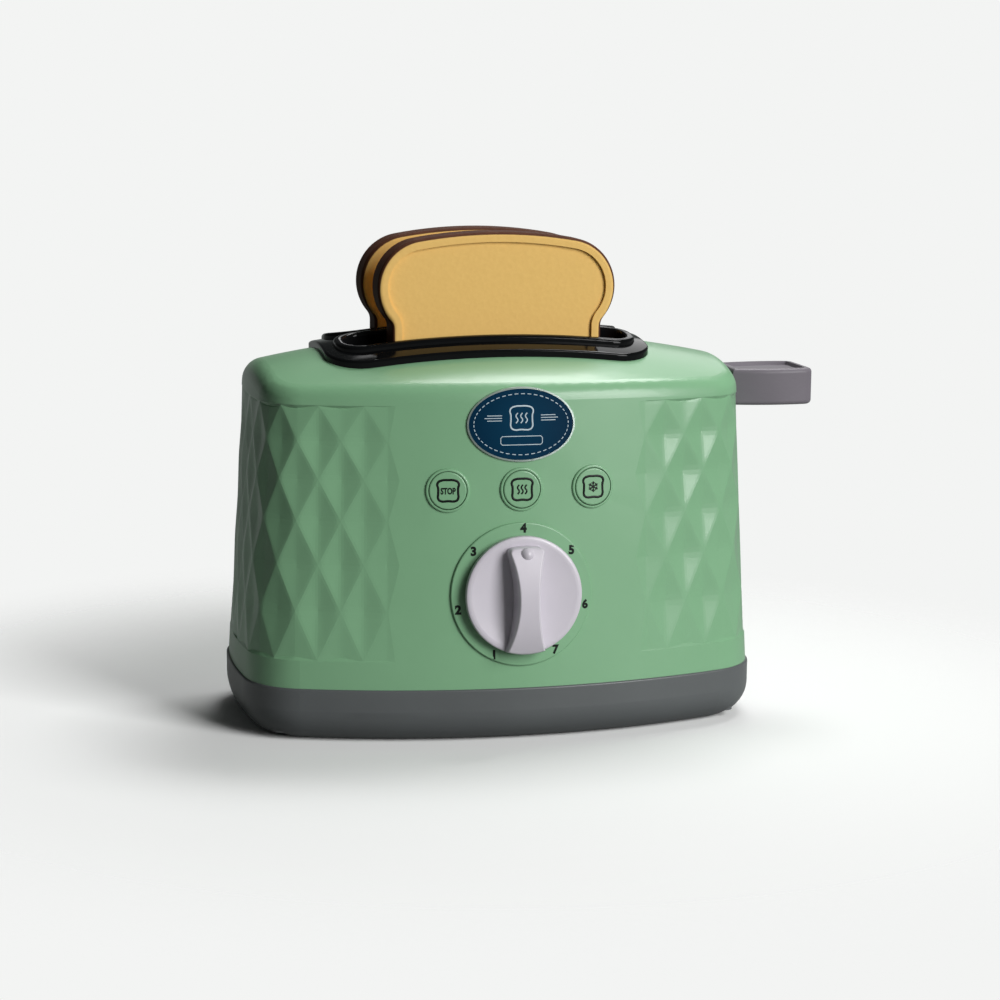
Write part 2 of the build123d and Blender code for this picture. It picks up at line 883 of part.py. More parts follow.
def carriage_bushes():
    """Two flanged bushes that run on the guide rods."""
    with BuildPart() as bushes:
        for x, y in rod_places:
            add(upright(x, y, bush_radius, head_low, blade_top))
            add(upright(x, y, bush_collar, blade_top, blade_top + bush_flange))
            add(upright(x, y, rod_radius + fit_gap, head_low, blade_top + bush_flange), mode=Mode.SUBTRACT)
    return bushes.part


def guide_rods():
    """Two steel rods from the base up through the lugs of the well."""
    with BuildPart() as rods:
        for x, y in rod_places:
            add(upright(x, y, rod_radius, rod_seat, rod_top))
        chamfer(rods.edges().group_by(Axis.Z)[-1], rod_radius * 0.2)
    return rods.part


def lift_springs():
    """Two compression springs round the rods that push the carriage up."""
    low = rod_boss_top + lift_wire / 2
    high = head_low - lift_wire / 2
    with BuildPart() as springs:
        spring = coil(lift_coil, lift_wire, lift_turns, high - low)
        for x, y in rod_places:
            add(spring.moved(Location((x, y, low))))
    return springs.part


# The lever outside the casing
paddle_low = lever_height - paddle_thickness / 2
paddle_start = side_x(paddle_low - lever_travel) - channel_depth + paddle_gap
arm_low = lever_height - arm_height / 2
lever_screw_places = (rod_x - arm_foot * 0.45, rod_x + arm_foot * 0.4)


def lever_arm():
    """Arm from the carriage up and out through the side slot."""
    foot_start = head_start + head_corner
    web_start = head_end - arm_web * 0.2
    half = arm_thickness / 2
    tip = paddle_start + arm_socket
    with BuildPart() as arm:
        with BuildSketch(Plane.XZ.offset(-half)):
            with BuildLine():
                Polyline(
                    (web_start, blade_top),
                    (web_start + arm_web, blade_top),
                    (web_start + arm_web, arm_low),
                    (tip, arm_low),
                    (tip, arm_low + arm_height),
                    (web_start, arm_low + arm_height),
                    close=True,
                )
            make_face()
        extrude(amount=arm_thickness)
        fillet(arm.edges().filter_by(Axis.Y).sort_by(Axis.X)[0:4], half * 0.7)
        foot = block(
            (foot_start, web_start + arm_web),
            (-arm_foot / 2, arm_foot / 2),
            (blade_top, blade_top + arm_foot_height),
        )
        add(foot)
        for x in lever_screw_places:
            hole = upright(x, 0, screw_shank + screw_play, blade_top, blade_top + arm_foot_height)
            add(hole, mode=Mode.SUBTRACT)
    return arm.part


def lever_screws():
    """Two screws that hold the arm on the carriage."""
    with BuildPart() as screws:
        one = screw(arm_foot_height + screw_bite)
        for x in lever_screw_places:
            add(one.moved(Location((x, 0, blade_top + arm_foot_height))))
    return screws.part


def paddle_outline(grow):
    """Plan outline of the paddle: long sides bowed, outer corners rounded."""
    end = paddle_start + paddle_length
    bulge = paddle_start + paddle_length * 0.6
    neck, nose = paddle_neck / 2, paddle_nose / 2
    with BuildSketch() as outline:
        with BuildLine():
            ThreePointArc((paddle_start, -neck), (bulge, -paddle_width / 2), (end, -nose))
            Line((end, -nose), (end, nose))
            ThreePointArc((end, nose), (bulge, paddle_width / 2), (paddle_start, neck))
            Line((paddle_start, neck), (paddle_start, -neck))
        make_face()
        fillet(outline.vertices().group_by(Axis.X)[-1], paddle_corner)
        if grow:
            offset(amount=grow)
    return outline.sketch


def lever_paddle():
    """Finger paddle pushed over the end of the arm, with a shallow dish on top."""
    with BuildPart() as paddle:
        with BuildSketch(Plane.XY.offset(paddle_low)):
            add(paddle_outline(0))
        extrude(amount=paddle_thickness)
        fillet(paddle.edges().group_by(Axis.Z)[-1] + paddle.edges().group_by(Axis.Z)[0], paddle_round)
        with BuildSketch(Plane.XY.offset(paddle_low + paddle_thickness - paddle_dish)):
            add(paddle_outline(-paddle_round - paddle_rim))
        extrude(amount=paddle_dish, taper=-30, mode=Mode.SUBTRACT)
        socket = block(
            (paddle_start, paddle_start + arm_socket + seat_gap),
            (-arm_thickness / 2 - fit_gap, arm_thickness / 2 + fit_gap),
            (arm_low - fit_gap, arm_low + arm_height + fit_gap),
        )
        add(socket, mode=Mode.SUBTRACT)
    return paddle.part


def push_button(x):
    """Push button: cap that follows the front, flange behind the wall, stem to the rear, spring pocket."""
    with BuildPart() as button:
        add(front_layer(disc(x, button_height, button_radius), -shell_wall, button_rise))
        fillet(button.faces().sort_by(Axis.Y)[0].edges(), button_edge)
        cap_back = front_y(x, button_height) + shell_wall / 2
        add(front_rod(x, button_height, button_radius, flange_back, cap_back))
        add(front_rod(x, button_height, flange_radius, flange_back, flange_front))
        pocket = front_rod(x, button_height, spring_pocket_radius, flange_back, flange_back - spring_pocket)
        add(pocket, mode=Mode.SUBTRACT)
        add(front_rod(x, button_height, stem_radius, stem_end, flange_back - spring_pocket))
        chamfer(button.edges().sort_by(Axis.Y)[-1], stem_radius * 0.15)
    return button.part


def button_spring(x):
    """Return spring between a button and the plate."""
    start = plate_front - button_wire / 2
    length = spring_pocket + plate_front - flange_back - button_wire
    with BuildPart() as spring:
        one = coil(button_coil, button_wire, button_turns, length)
        add(one.moved(Plane(origin=(x, start, button_height), z_dir=(0, -1, 0)).location))
    return spring.part


def button_plate():
    """Plate that guides the stems, with two open ears for the release bar."""
    with BuildPart() as plate:
        with BuildSketch(Plane.XZ.offset(-plate_back)):
            with Locations((0, button_height)):
                RectangleRounded(plate_length, plate_height, plate_corner)
        extrude(amount=plate_thickness)
        for side in (-1, 1):
            with BuildSketch(Plane.YZ.offset(side * ear_x - ear_thickness / 2)):
                with Locations((bar_y, bar_height)):
                    Circle(bar_radius + ear_margin)
                with BuildLine():
                    Polyline(
                        (plate_front, bar_height),
                        (bar_y + bar_radius + ear_margin, bar_height),
                        (plate_back, button_height),
                        (plate_front, button_height),
                        close=True,
                    )
                make_face()
                with Locations((bar_y, bar_height)):
                    Circle(bar_radius + fit_gap, mode=Mode.SUBTRACT)
                mouth = 2 * bar_radius * ear_mouth
                with Locations((bar_y, bar_height - bar_radius - ear_margin / 2)):
                    Rectangle(mouth, 2 * bar_radius, mode=Mode.SUBTRACT)
            extrude(amount=ear_thickness)
        for x in button_columns().values():
            guide = front_rod(x, button_height, stem_radius + fit_gap, plate_back, plate_front)
            add(guide, mode=Mode.SUBTRACT)
        for x, height in plate_corners:
            hole = front_rod(x, height, screw_shank + screw_play, plate_back, plate_front)
            add(hole, mode=Mode.SUBTRACT)
    return plate.part


def release_bar():
    """Rocker: the finger stands behind the STOP stem and the hook hangs beside the carriage."""
    stop_x = button_columns()["stop"]
    finger_top = button_height + finger_overrun
    nose_tip = -head_depth / 2 - hook_gap
    lowered = blade_top - lever_travel
    hook_low = lowered + hook_gap * 2
    front = bar_y - finger_thickness / 2
    back = bar_y + finger_thickness / 2
    left = -ear_x - ear_thickness / 2 - seat_gap
    with BuildPart() as bar:
        with BuildSketch(Plane.YZ.offset(left - bar_collar_width)):
            with Locations((bar_y, bar_height)):
                Circle(bar_collar)
        extrude(amount=bar_collar_width)
        with BuildSketch(Plane.YZ.offset(left)):
            with Locations((bar_y, bar_height)):
                Circle(bar_radius)
        extrude(amount=bar_end - left)
        finger_across = (stop_x - finger_width / 2, stop_x + finger_width / 2)
        add(block(finger_across, (front, back), (bar_height, finger_top)))
        add(block((bar_end - hook_width, bar_end), (front, back), (hook_low, bar_height)))
        with BuildSketch(Plane.YZ.offset(bar_end - hook_width)):
            with BuildLine():
                Polyline(
                    (back, hook_low),
                    (nose_tip, hook_low),
                    (back, hook_low + 2 * hook_nose),
                    close=True,
                )
            make_face()
        extrude(amount=hook_width)
    return bar.part


def dial_bar(radius, low, high, x=0.0, y=0.0):
    """Round bar square to the dial between two distances from the wall."""
    with BuildPart() as bar:
        with BuildSketch(dial_plane.offset(low)):
            with Locations((x, y)):
                Circle(radius)
        extrude(amount=high - low)
    return bar.part


# Distances from the wall along the dial's axis
knob_base = dial_rise + knob_gap
wheel_front = -detent_setback
wheel_back = wheel_front - detent_thickness
bracket_front = -bracket_setback
bracket_back = bracket_front - plate_thickness
clip_front = bracket_back - seat_gap
clip_back = clip_front - clip_ring_thickness

# Level of the click strip below the axis of the wheel
click_level = -detent_radius - detent_notch - click_clearance


def knob_grip():
    """Waisted ridge across the knob, lower towards its ends."""
    end_y = math.sqrt(knob_radius**2 - grip_end**2)
    top_y = end_y - grip_inset
    top_x = grip_end * grip_narrow
    ridge = knob_grip_height
    low_end = ridge - grip_end_drop
    with BuildPart() as grip:
        with BuildSketch(dial_plane.offset(knob_base + knob_recess)):
            with BuildLine():
                ThreePointArc((-grip_end, -end_y), (-grip_waist, 0), (-top_x, top_y))
                ThreePointArc((-top_x, top_y), (0, top_y + grip_inset * 0.3), (top_x, top_y))
                ThreePointArc((top_x, top_y), (grip_waist, 0), (grip_end, -end_y))
                ThreePointArc((grip_end, -end_y), (0, -knob_radius), (-grip_end, -end_y))
            make_face()
        extrude(amount=ridge)
        side = Plane(origin=dial_plane.offset(knob_base).origin, x_dir=dial_plane.y_dir, z_dir=(1, 0, 0))
        with BuildSketch(side.offset(-knob_radius)):
            with BuildLine():
                ThreePointArc((-knob_radius, low_end), (0, ridge), (knob_radius, low_end))
                Polyline((knob_radius, low_end), (knob_radius, 0), (-knob_radius, 0), (-knob_radius, low_end))
            make_face()
        extrude(amount=2 * knob_radius, mode=Mode.INTERSECT)
    return grip.part


def knob_disc():
    """Round body of the knob: rounded rim, dished front, recess round the hub behind."""
    start = dial_plane.offset(knob_base)
    flank = Plane(origin=start.origin, x_dir=start.x_dir, z_dir=-start.y_dir)
    floor = knob_rim - knob_dish
    flat = knob_radius - knob_round
    brim = flat - knob_edge
    with BuildPart() as body:
        with BuildSketch(flank):
            with BuildLine():
                Polyline(
                    (0, floor),
                    (0, 0),
                    (knob_hub, 0),
                    (knob_hub, knob_recess),
                    (flat, knob_recess),
                    (flat, 0),
                    (knob_radius, 0),
                    (knob_radius, knob_rim - knob_round),
                )
                RadiusArc((knob_radius, knob_rim - knob_round), (flat, knob_rim), -knob_round)
                Line((flat, knob_rim), (brim, knob_rim))
                TangentArc((0, floor), (brim, knob_rim), tangent=(1, 0), tangent_from_first=True)
            make_face()
        revolve(axis=Axis(start.origin, start.z_dir), revolution_arc=360)
    return body.part


def along_dial(edge):
    """Middle of an edge in the dial's own directions, counted from the knob's base."""
    return dial_plane.offset(knob_base).to_local_coords(edge @ 0.5)


def pointer_dot():
    """Low dome on the upper end of the grip."""
    level = knob_base + knob_grip_height - grip_end_drop * (dot_place / knob_radius) ** 2
    dome = (dot_radius**2 + dot_rise**2) / (2 * dot_rise)
    with BuildPart() as dot:
        add(dial_bar(dot_radius, level - dot_rise, level + dot_rise, 0, dot_place))
        with Locations(dial_plane.offset(level + dot_rise - dome).location * Location((0, dot_place, 0))):
            Sphere(dome, mode=Mode.INTERSECT)
    return dot.part


def dial_knob():
    """Dial knob: dished disc, waisted grip with a pointer dot, hub with a bore for the spindle."""
    with BuildPart() as knob:
        add(knob_disc())
        add(knob_grip())
        base = knob_rim - knob_dish
        corners = knob.edges().filter_by(GeomType.LINE).filter_by(lambda edge: along_dial(edge).Y > 0)
        fillet(corners.filter_by(lambda edge: along_dial(edge).Z > base), grip_corner)
        ridge = knob.edges().filter_by(lambda edge: along_dial(edge).Z > knob_rim)
        ridge = ridge.filter_by(lambda edge: abs(along_dial(edge).X) < grip_end)
        fillet(ridge.filter_by(GeomType.LINE, reverse=True), grip_top_round)
        add(dial_bar(spindle_radius, knob_base, knob_base + knob_bore), mode=Mode.SUBTRACT)
        add(pointer_dot())
    return knob.part


def dial_spindle():
    """Steel spindle of the dial with a groove for the clip."""
    neck = spindle_radius - clip_groove
    with BuildPart() as spindle:
        add(dial_bar(spindle_radius, clip_back - clip_ring_thickness * 2, clip_back))
        add(dial_bar(neck, clip_back, clip_front))
        add(dial_bar(spindle_radius, clip_front, knob_base + knob_bore))
    return spindle.part


def spindle_clip():
    """Open ring in the groove of the spindle."""
    with BuildPart() as clip:
        with BuildSketch(dial_plane.offset(clip_back)):
            Circle(clip_ring)
            Circle(spindle_radius - clip_groove, mode=Mode.SUBTRACT)
            with Locations((0, -clip_ring)):
                Rectangle(2 * (spindle_radius - clip_groove) * ear_mouth, 2 * clip_ring, mode=Mode.SUBTRACT)
        extrude(amount=clip_ring_thickness)
    return clip.part


def detent_wheel():
    """Wheel on the spindle with a notch for every number."""
    with BuildPart() as wheel:
        add(dial_bar(detent_radius, wheel_back, wheel_front))
        with BuildSketch(dial_plane.offset(wheel_back)):
            first = -90 - detent_step * (detent_notches - 1) / 2
            whole = detent_step * detent_notches
            with PolarLocations(detent_radius + notch_rise, detent_notches, first, whole):
                Circle(detent_notch + slide_gap)
            Circle(spindle_radius)
        extrude(amount=detent_thickness, mode=Mode.SUBTRACT)
    return wheel.part


def click_spring():
    """Flat strip with a bump that stands under a notch of the wheel and just clears its rim."""
    with BuildPart() as strip:
        with BuildSketch(dial_plane.offset(wheel_back + (detent_thickness - click_width) / 2)):
            with Locations((0, click_level - click_strip / 2)):
                Rectangle(click_length, click_strip)
            with Locations((0, click_level)):
                Circle(detent_notch)
            with Locations((0, click_level - click_strip - detent_notch / 2)):
                Rectangle(detent_notch * 2, detent_notch, mode=Mode.SUBTRACT)
        extrude(amount=click_width)
    return strip.part


def dial_bracket():
    """Bracket behind the dial: bearing for the spindle and two prongs for the click spring."""
    with BuildPart() as bracket:
        with BuildSketch(dial_plane.offset(bracket_back)):
            RectangleRounded(bracket_length, bracket_height, bracket_post)
            Circle(spindle_radius + fit_gap, mode=Mode.SUBTRACT)
            with Locations(*bracket_corners):
                Circle(screw_shank + screw_play, mode=Mode.SUBTRACT)
        extrude(amount=plate_thickness)
        with BuildSketch(dial_plane.offset(bracket_back)):
            with Locations(*[(side * prong_reach, click_level - click_strip / 2) for side in (-1, 1)]):
                Rectangle(prong_width, prong_height)
                Rectangle(prong_width, click_strip + fit_gap, mode=Mode.SUBTRACT)
        extrude(amount=wheel_front - bracket_back)
    return bracket.part


def slice_outline(grow, shift):
    """Outline of a slice in X and Z, moved outwards by grow and along X: neck, lobes and a bowed top."""
    half = slice_neck / 2 + grow
    low = slice_bottom - grow
    bulge = slice_lobe_radius + grow
    bow = slice_crown_radius + grow
    bow_centre = slice_top - slice_crown_radius
    reach = slice_crown_radius - slice_lobe_radius
    lobe_x = slice_width / 2 - slice_lobe_radius
    lobe_z = bow_centre + math.sqrt(reach**2 - lobe_x**2)
    shoulder_x = lobe_x * bow / reach
    shoulder_z = bow_centre + (lobe_z - bow_centre) * bow / reach
    neck_z = lobe_z - math.sqrt(bulge**2 - (half - lobe_x) ** 2)
    with BuildSketch() as outline:
        with BuildLine():
            Polyline((-half, neck_z), (-half, low), (half, low), (half, neck_z))
            ThreePointArc((half, neck_z), (lobe_x + bulge, lobe_z), (shoulder_x, shoulder_z))
            ThreePointArc((shoulder_x, shoulder_z), (0, slice_top + grow), (-shoulder_x, shoulder_z))
            ThreePointArc((-shoulder_x, shoulder_z), (-lobe_x - bulge, lobe_z), (-half, neck_z))
        make_face()
        fillet(outline.vertices().group_by(Axis.Y)[0], slice_corner + grow)
        necks = outline.vertices().filter_by(lambda place: abs(place.Y - neck_z) < seat_gap)
        fillet(necks, slice_blend - grow)
    return outline.sketch.moved(Location((shift, 0, 0)))


def slice_half(row, side):
    """Hollow moulded half of a slice; side -1 is the front half with sockets, side 1 has the pins."""
    half = slice_thickness / 2
    shift = front_slice_shift if row < 0 else rear_slice_shift
    pegs = [(shift - slice_peg_reach, slice_bottom + slice_height / 4)]
    pegs += [(shift + slice_peg_reach, slice_bottom + slice_height / 4)]
    pegs += [(shift, slice_bottom + slice_height * 0.75)]
    with BuildPart() as shell:
        with BuildSketch(Plane.XZ.offset(-row)):
            add(slice_outline(0, shift))
        extrude(amount=-side * half)
        outside = shell.faces().sort_by(Axis.Y)[-1 if side > 0 else 0]
        fillet(outside.edges(), slice_round)
        with BuildSketch(Plane.XZ.offset(-row - side * half)):
            add(slice_outline(-slice_rim, shift))
        extrude(amount=side * slice_dish, mode=Mode.SUBTRACT)
        with BuildSketch(Plane.XZ.offset(-row)):
            add(slice_outline(-slice_skin, shift))
        extrude(amount=-side * (half - slice_dish - slice_skin), mode=Mode.SUBTRACT)
        for x, height in pegs:
            seat = row + side * (half - slice_dish - slice_skin / 2)
            add(front_rod(x, height, 2 * slice_peg, max(row, seat), min(row, seat)))
            if side < 0:
                add(front_rod(x, height, slice_peg + fit_gap, row, row - slice_peg), mode=Mode.SUBTRACT)
            else:
                add(front_rod(x, height, slice_peg, row, row - slice_peg + seat_gap))
    return shell.part


def badge_plate():
    """Oval plate let into the front."""
    return front_layer(oval(0), -badge_sink, badge_rise)


def badge_bezel():
    """Thin ring round the oval plate."""
    with BuildSketch() as ring:
        add(oval(bezel_width))
        add(oval(0), mode=Mode.SUBTRACT)
    return front_layer(ring.sketch, -badge_sink, bezel_rise)


def shell_screws():
    """Three screws that pull the rear shell onto the front shell."""
    one = screw(post_seat + 2 * (screw_bite - pilot_spare))
    with BuildPart() as screws:
        for x, height in post_places:
            add(one.moved(Plane(origin=(x, post_seat, height), z_dir=(0, 1, 0)).location))
    return screws.part


def base_screws():
    """Four long screws from below through the base into the casing."""
    one = screw(seam_height - leg_pad + screw_bite)
    with BuildPart() as screws:
        for x, y in base_corners:
            add(one.moved(Plane(origin=(x, y, leg_pad), z_dir=(0, 0, -1)).location))
    return screws.part


def well_screws():
    """Four screws from below into the legs of the wells."""
    one = screw(leg_pad - base_wall + screw_bite)
    with BuildPart() as screws:
        for x, y in leg_corners:
            add(one.moved(Plane(origin=(x, y, base_wall), z_dir=(0, 0, -1)).location))
    return screws.part


def plate_screws():
    """Eight short screws: four in the button plate and four in the dial bracket."""
    one = screw(plate_thickness + screw_bite - pilot_spare)
    with BuildPart() as screws:
        for x, height in plate_corners:
            add(one.moved(Plane(origin=(x, plate_back, height), z_dir=(0, 1, 0)).location))
        rear = dial_plane.offset(bracket_back)
        for x, y in bracket_corners:
            spot = rear.from_local_coords((x, y, 0))
            add(one.moved(Plane(origin=spot, x_dir=(1, 0, 0), z_dir=-dial_plane.z_dir).location))
    return screws.part


def half_shell(whole, keep):
    """Front or rear half of the casing, parted at the middle plane."""
    with BuildPart() as half:
        add(whole)
        split(bisect_by=Plane.XZ, keep=keep)
    return half.part


def finish(piece, name):
    """Label a finished piece and write its file."""
    with BuildPart() as finished:
        add(piece)
    finished.part.label = name
    export_step(finished.part, f"parts/{name}.step")


os.makedirs("parts", exist_ok=True)
whole_casing = casing()
lower_row, upper_row = slot_rows()
finish(half_shell(whole_casing, Keep.TOP), "front_shell")
finish(half_shell(whole_casing, Keep.BOTTOM), "rear_shell")
finish(base_tub(), "base_tub")
finish(slot_frame(), "slot_frame")
finish(badge_plate(), "badge_plate")
finish(badge_bezel(), "badge_bezel")
finish(bread_well(-1), "well_front")
finish(bread_well(1), "well_rear")
finish(lift_cradle(), "lift_cradle")
finish(carriage_bushes(), "carriage_bushes")
finish(guide_rods(), "guide_rods")
finish(lift_springs(), "lift_springs")
finish(lever_arm(), "lever_arm")
finish(lever_screws(), "lever_screws")
finish(lever_paddle(), "lever_paddle")
for name, column in button_columns().items():
    finish(push_button(column), f"button_{name}")
    finish(button_spring(column), f"spring_{name}")
finish(button_plate(), "button_plate")
finish(release_bar(), "release_bar")
finish(dial_knob(), "dial_knob")
finish(dial_spindle(), "dial_spindle")
finish(spindle_clip(), "spindle_clip")
finish(detent_wheel(), "detent_wheel")
finish(click_spring(), "click_spring")
finish(dial_bracket(), "dial_bracket")
finish(slice_half(lower_row, -1), "slice_1_front")
finish(slice_half(lower_row, 1), "slice_1_back")
finish(slice_half(upper_row, -1), "slice_2_front")
finish(slice_half(upper_row, 1), "slice_2_back")
finish(shell_screws(), "shell_screws")
finish(base_screws(), "base_screws")
finish(well_screws(), "well_screws")
finish(plate_screws(), "plate_screws")
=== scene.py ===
import json
import math

import bmesh
import bpy
from mathutils import Matrix, Vector
from mathutils.bvhtree import BVHTree


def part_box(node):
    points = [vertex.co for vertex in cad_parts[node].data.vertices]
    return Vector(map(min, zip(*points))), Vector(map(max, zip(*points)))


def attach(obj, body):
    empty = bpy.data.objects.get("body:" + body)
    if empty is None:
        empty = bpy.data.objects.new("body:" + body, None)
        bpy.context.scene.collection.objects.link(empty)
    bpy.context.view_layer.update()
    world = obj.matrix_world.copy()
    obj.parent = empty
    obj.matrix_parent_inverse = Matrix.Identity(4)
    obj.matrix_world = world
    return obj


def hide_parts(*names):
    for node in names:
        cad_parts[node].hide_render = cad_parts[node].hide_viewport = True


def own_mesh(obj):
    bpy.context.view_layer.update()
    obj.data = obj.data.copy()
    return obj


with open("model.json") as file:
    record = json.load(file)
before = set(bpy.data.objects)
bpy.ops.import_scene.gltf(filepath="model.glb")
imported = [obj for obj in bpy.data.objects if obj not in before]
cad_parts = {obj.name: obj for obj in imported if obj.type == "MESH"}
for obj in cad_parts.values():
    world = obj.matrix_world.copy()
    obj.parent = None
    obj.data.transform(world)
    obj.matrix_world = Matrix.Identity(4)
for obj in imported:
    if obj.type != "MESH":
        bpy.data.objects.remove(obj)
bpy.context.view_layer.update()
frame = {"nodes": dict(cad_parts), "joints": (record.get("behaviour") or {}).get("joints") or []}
nodes = frame["nodes"]
mm = 0.001

viewpoint = {
    "position": (-213.1, -923.3, 238.2),  # mm, left of the front and a little above
    "azimuth": -13.286,
    "elevation": 9.609,
    "roll": 0.51,
    "focal": 2.5864,  # focal length over picture width
    "sensor": 36.0,
}


def makeCamera():
    azimuth = math.radians(viewpoint["azimuth"])
    elevation = math.radians(viewpoint["elevation"])
    roll = math.radians(viewpoint["roll"])
    level = Vector((math.cos(azimuth), math.sin(azimuth), 0))
    ahead = Vector((-math.sin(azimuth), math.cos(azimuth), 0))
    forward = math.cos(elevation) * ahead - Vector((0, 0, math.sin(elevation)))
    upright = level.cross(forward)
    right = math.cos(roll) * level + math.sin(roll) * upright
    up = math.cos(roll) * upright - math.sin(roll) * level
    turn = Matrix((right, up, -forward)).transposed().to_4x4()
    bpy.ops.object.camera_add()
    camera = bpy.context.object
    camera.matrix_world = Matrix.Translation(Vector(viewpoint["position"]) * mm) @ turn
    camera.data.sensor_width = viewpoint["sensor"]
    camera.data.lens = viewpoint["focal"] * viewpoint["sensor"]
    bpy.context.scene.camera = camera


def linearColour(hexText):
    channels = [int(hexText[i:i + 2], 16) / 255 for i in (1, 3, 5)]
    linear = [c / 12.92 if c <= 0.04045 else ((c + 0.055) / 1.055) ** 2.4 for c in channels]
    return (*linear, 1.0)


def addNode(tree, kind, values=None, links=None, **settings):
    node = tree.nodes.new(kind)
    for name, value in settings.items():
        setattr(node, name, value)
    for socket, value in (values or {}).items():
        node.inputs[socket].default_value = value
    for socket, source in (links or {}).items():
        tree.links.new(source, node.inputs[socket])
    return node


def newMaterial(name):
    material = bpy.data.materials.new(name)
    material.use_nodes = True
    material.node_tree.nodes.clear()
    return material, material.node_tree


studio = {
    "backdrop": "#F3F4F3",
    "horizon": "#8C908E",  # what gloss shows round about, as in a room with grey walls
    "ceiling": "#3C3F3E",  # what gloss shows overhead
    "ceilingStart": 0.03,  # sines of the elevations between which the walls turn to ceiling
    "ceilingEnd": 0.3,
    "floor": "#F6F7F6",
    "floorBounce": "#A6A8A7",  # what the toy gets back from the floor, which is pale to the camera alone
    "ambient": "#C3C8C6",
    "ambientLevel": 0.06,
    "fadeStart": 0.12,  # metres from the middle, where the floor begins to melt into the backdrop
    "fadeEnd": 0.3,
    "floorSize": 3.0,
    "paperRough": 0.4,
}


def makeWorld():
    world = bpy.data.worlds.new("studioSurround")
    bpy.context.scene.world = world
    world.use_nodes = True
    tree = world.node_tree
    tree.nodes.clear()
    path = addNode(tree, "ShaderNodeLightPath")
    mirrored = addNode(tree, "ShaderNodeMath", operation="MAXIMUM",
                       links={0: path.outputs["Is Glossy Ray"], 1: path.outputs["Is Transmission Ray"]})
    outlook = addNode(tree, "ShaderNodeTexCoord").outputs["Generated"]
    way = addNode(tree, "ShaderNodeSeparateXYZ", links={0: outlook})
    rise = addNode(tree, "ShaderNodeMapRange",
                   {"From Min": studio["ceilingStart"], "From Max": studio["ceilingEnd"]},
                   {"Value": way.outputs["Z"]}, interpolation_type="SMOOTHSTEP")
    room = addNode(tree, "ShaderNodeMix",
                   {6: linearColour(studio["horizon"]), 7: linearColour(studio["ceiling"])},
                   {0: rise.outputs[0]}, data_type="RGBA")
    ambient = addNode(tree, "ShaderNodeBackground",
                      {"Color": linearColour(studio["ambient"]), "Strength": studio["ambientLevel"]})
    reflected = addNode(tree, "ShaderNodeBackground", {"Strength": 1.0}, {"Color": room.outputs[2]})
    backdrop = addNode(tree, "ShaderNodeBackground",
                       {"Color": linearColour(studio["backdrop"]), "Strength": 1.0})
    glossy = addNode(tree, "ShaderNodeMixShader",
                     links={0: mirrored.outputs[0], 1: ambient.outputs[0], 2: reflected.outputs[0]})
    mixed = addNode(tree, "ShaderNodeMixShader",
                    links={0: path.outputs["Is Camera Ray"], 1: glossy.outputs[0], 2: backdrop.outputs[0]})
    addNode(tree, "ShaderNodeOutputWorld", links={"Surface": mixed.outputs[0]})


lamps = {  # place and aim in metres, size in metres, power in watts
    "topSoftbox": {"at": (0.38, 0.4, 1.2), "aim": (0.0, 0.0, 0.1), "size": (0.64, 0.35),
                   "watts": 10.0},
    "frontSoftbox": {"at": (0.92, -1.38, 0.75), "aim": (0.0, 0.0, 0.08), "size": (0.8, 1.2),
                     "watts": 32.0},
    "rearFill": {"at": (0.5, 1.2, 0.9), "aim": (0.0, 0.0, 0.08), "size": (0.8, 0.8),
                 "watts": 3.0},
}


def makeLamps():
    for name, lamp in lamps.items():
        bpy.ops.object.light_add(type="AREA")
        light = bpy.context.object
        light.name = name
        light.data.shape = "RECTANGLE"
        light.data.size, light.data.size_y = lamp["size"]
        light.data.energy = lamp["watts"]
        away = Vector(lamp["aim"]) - Vector(lamp["at"])
        light.location = lamp["at"]
        light.rotation_mode = "QUATERNION"
        light.rotation_quaternion = away.to_track_quat("-Z", "Y")


def makeFloor():
    bpy.ops.mesh.primitive_plane_add(size=studio["floorSize"])
    floor = bpy.context.object
    floor.name = "studioFloor"
    material, tree = newMaterial("mattePaperSweep")
    place = addNode(tree, "ShaderNodeTexCoord").outputs["Object"]
    reach = addNode(tree, "ShaderNodeVectorMath", links={0: place}, operation="LENGTH")
    fade = addNode(tree, "ShaderNodeMapRange",
                   {"From Min": studio["fadeStart"], "From Max": studio["fadeEnd"]},
                   {"Value": reach.outputs["Value"]}, interpolation_type="SMOOTHSTEP")
    seen = addNode(tree, "ShaderNodeLightPath").outputs["Is Camera Ray"]
    tone = addNode(tree, "ShaderNodeMix",
                   {6: linearColour(studio["floorBounce"]), 7: linearColour(studio["floor"])},
                   {0: seen}, data_type="RGBA")
    paper = addNode(tree, "ShaderNodeBsdfDiffuse", {"Roughness": studio["paperRough"]},
                    {"Color": tone.outputs[2]})
    nothing = addNode(tree, "ShaderNodeBsdfTransparent")
    skin = addNode(tree, "ShaderNodeMixShader",
                   links={0: fade.outputs[0], 1: paper.outputs[0], 2: nothing.outputs[0]})
    addNode(tree, "ShaderNodeOutputMaterial", links={"Surface": skin.outputs[0]})
    floor.data.materials.append(material)


makeCamera()
makeWorld()
makeLamps()
makeFloor()
print("camera, surround, lamps and floor are set")


def takeUp(piece):
    bpy.ops.object.select_all(action="DESELECT")
    piece.select_set(True)
    bpy.context.view_layer.objects.active = piece


def grainScale(size):  # the scale of a pattern whose grains are this many millimetres across
    return 1.0 / (size * mm)


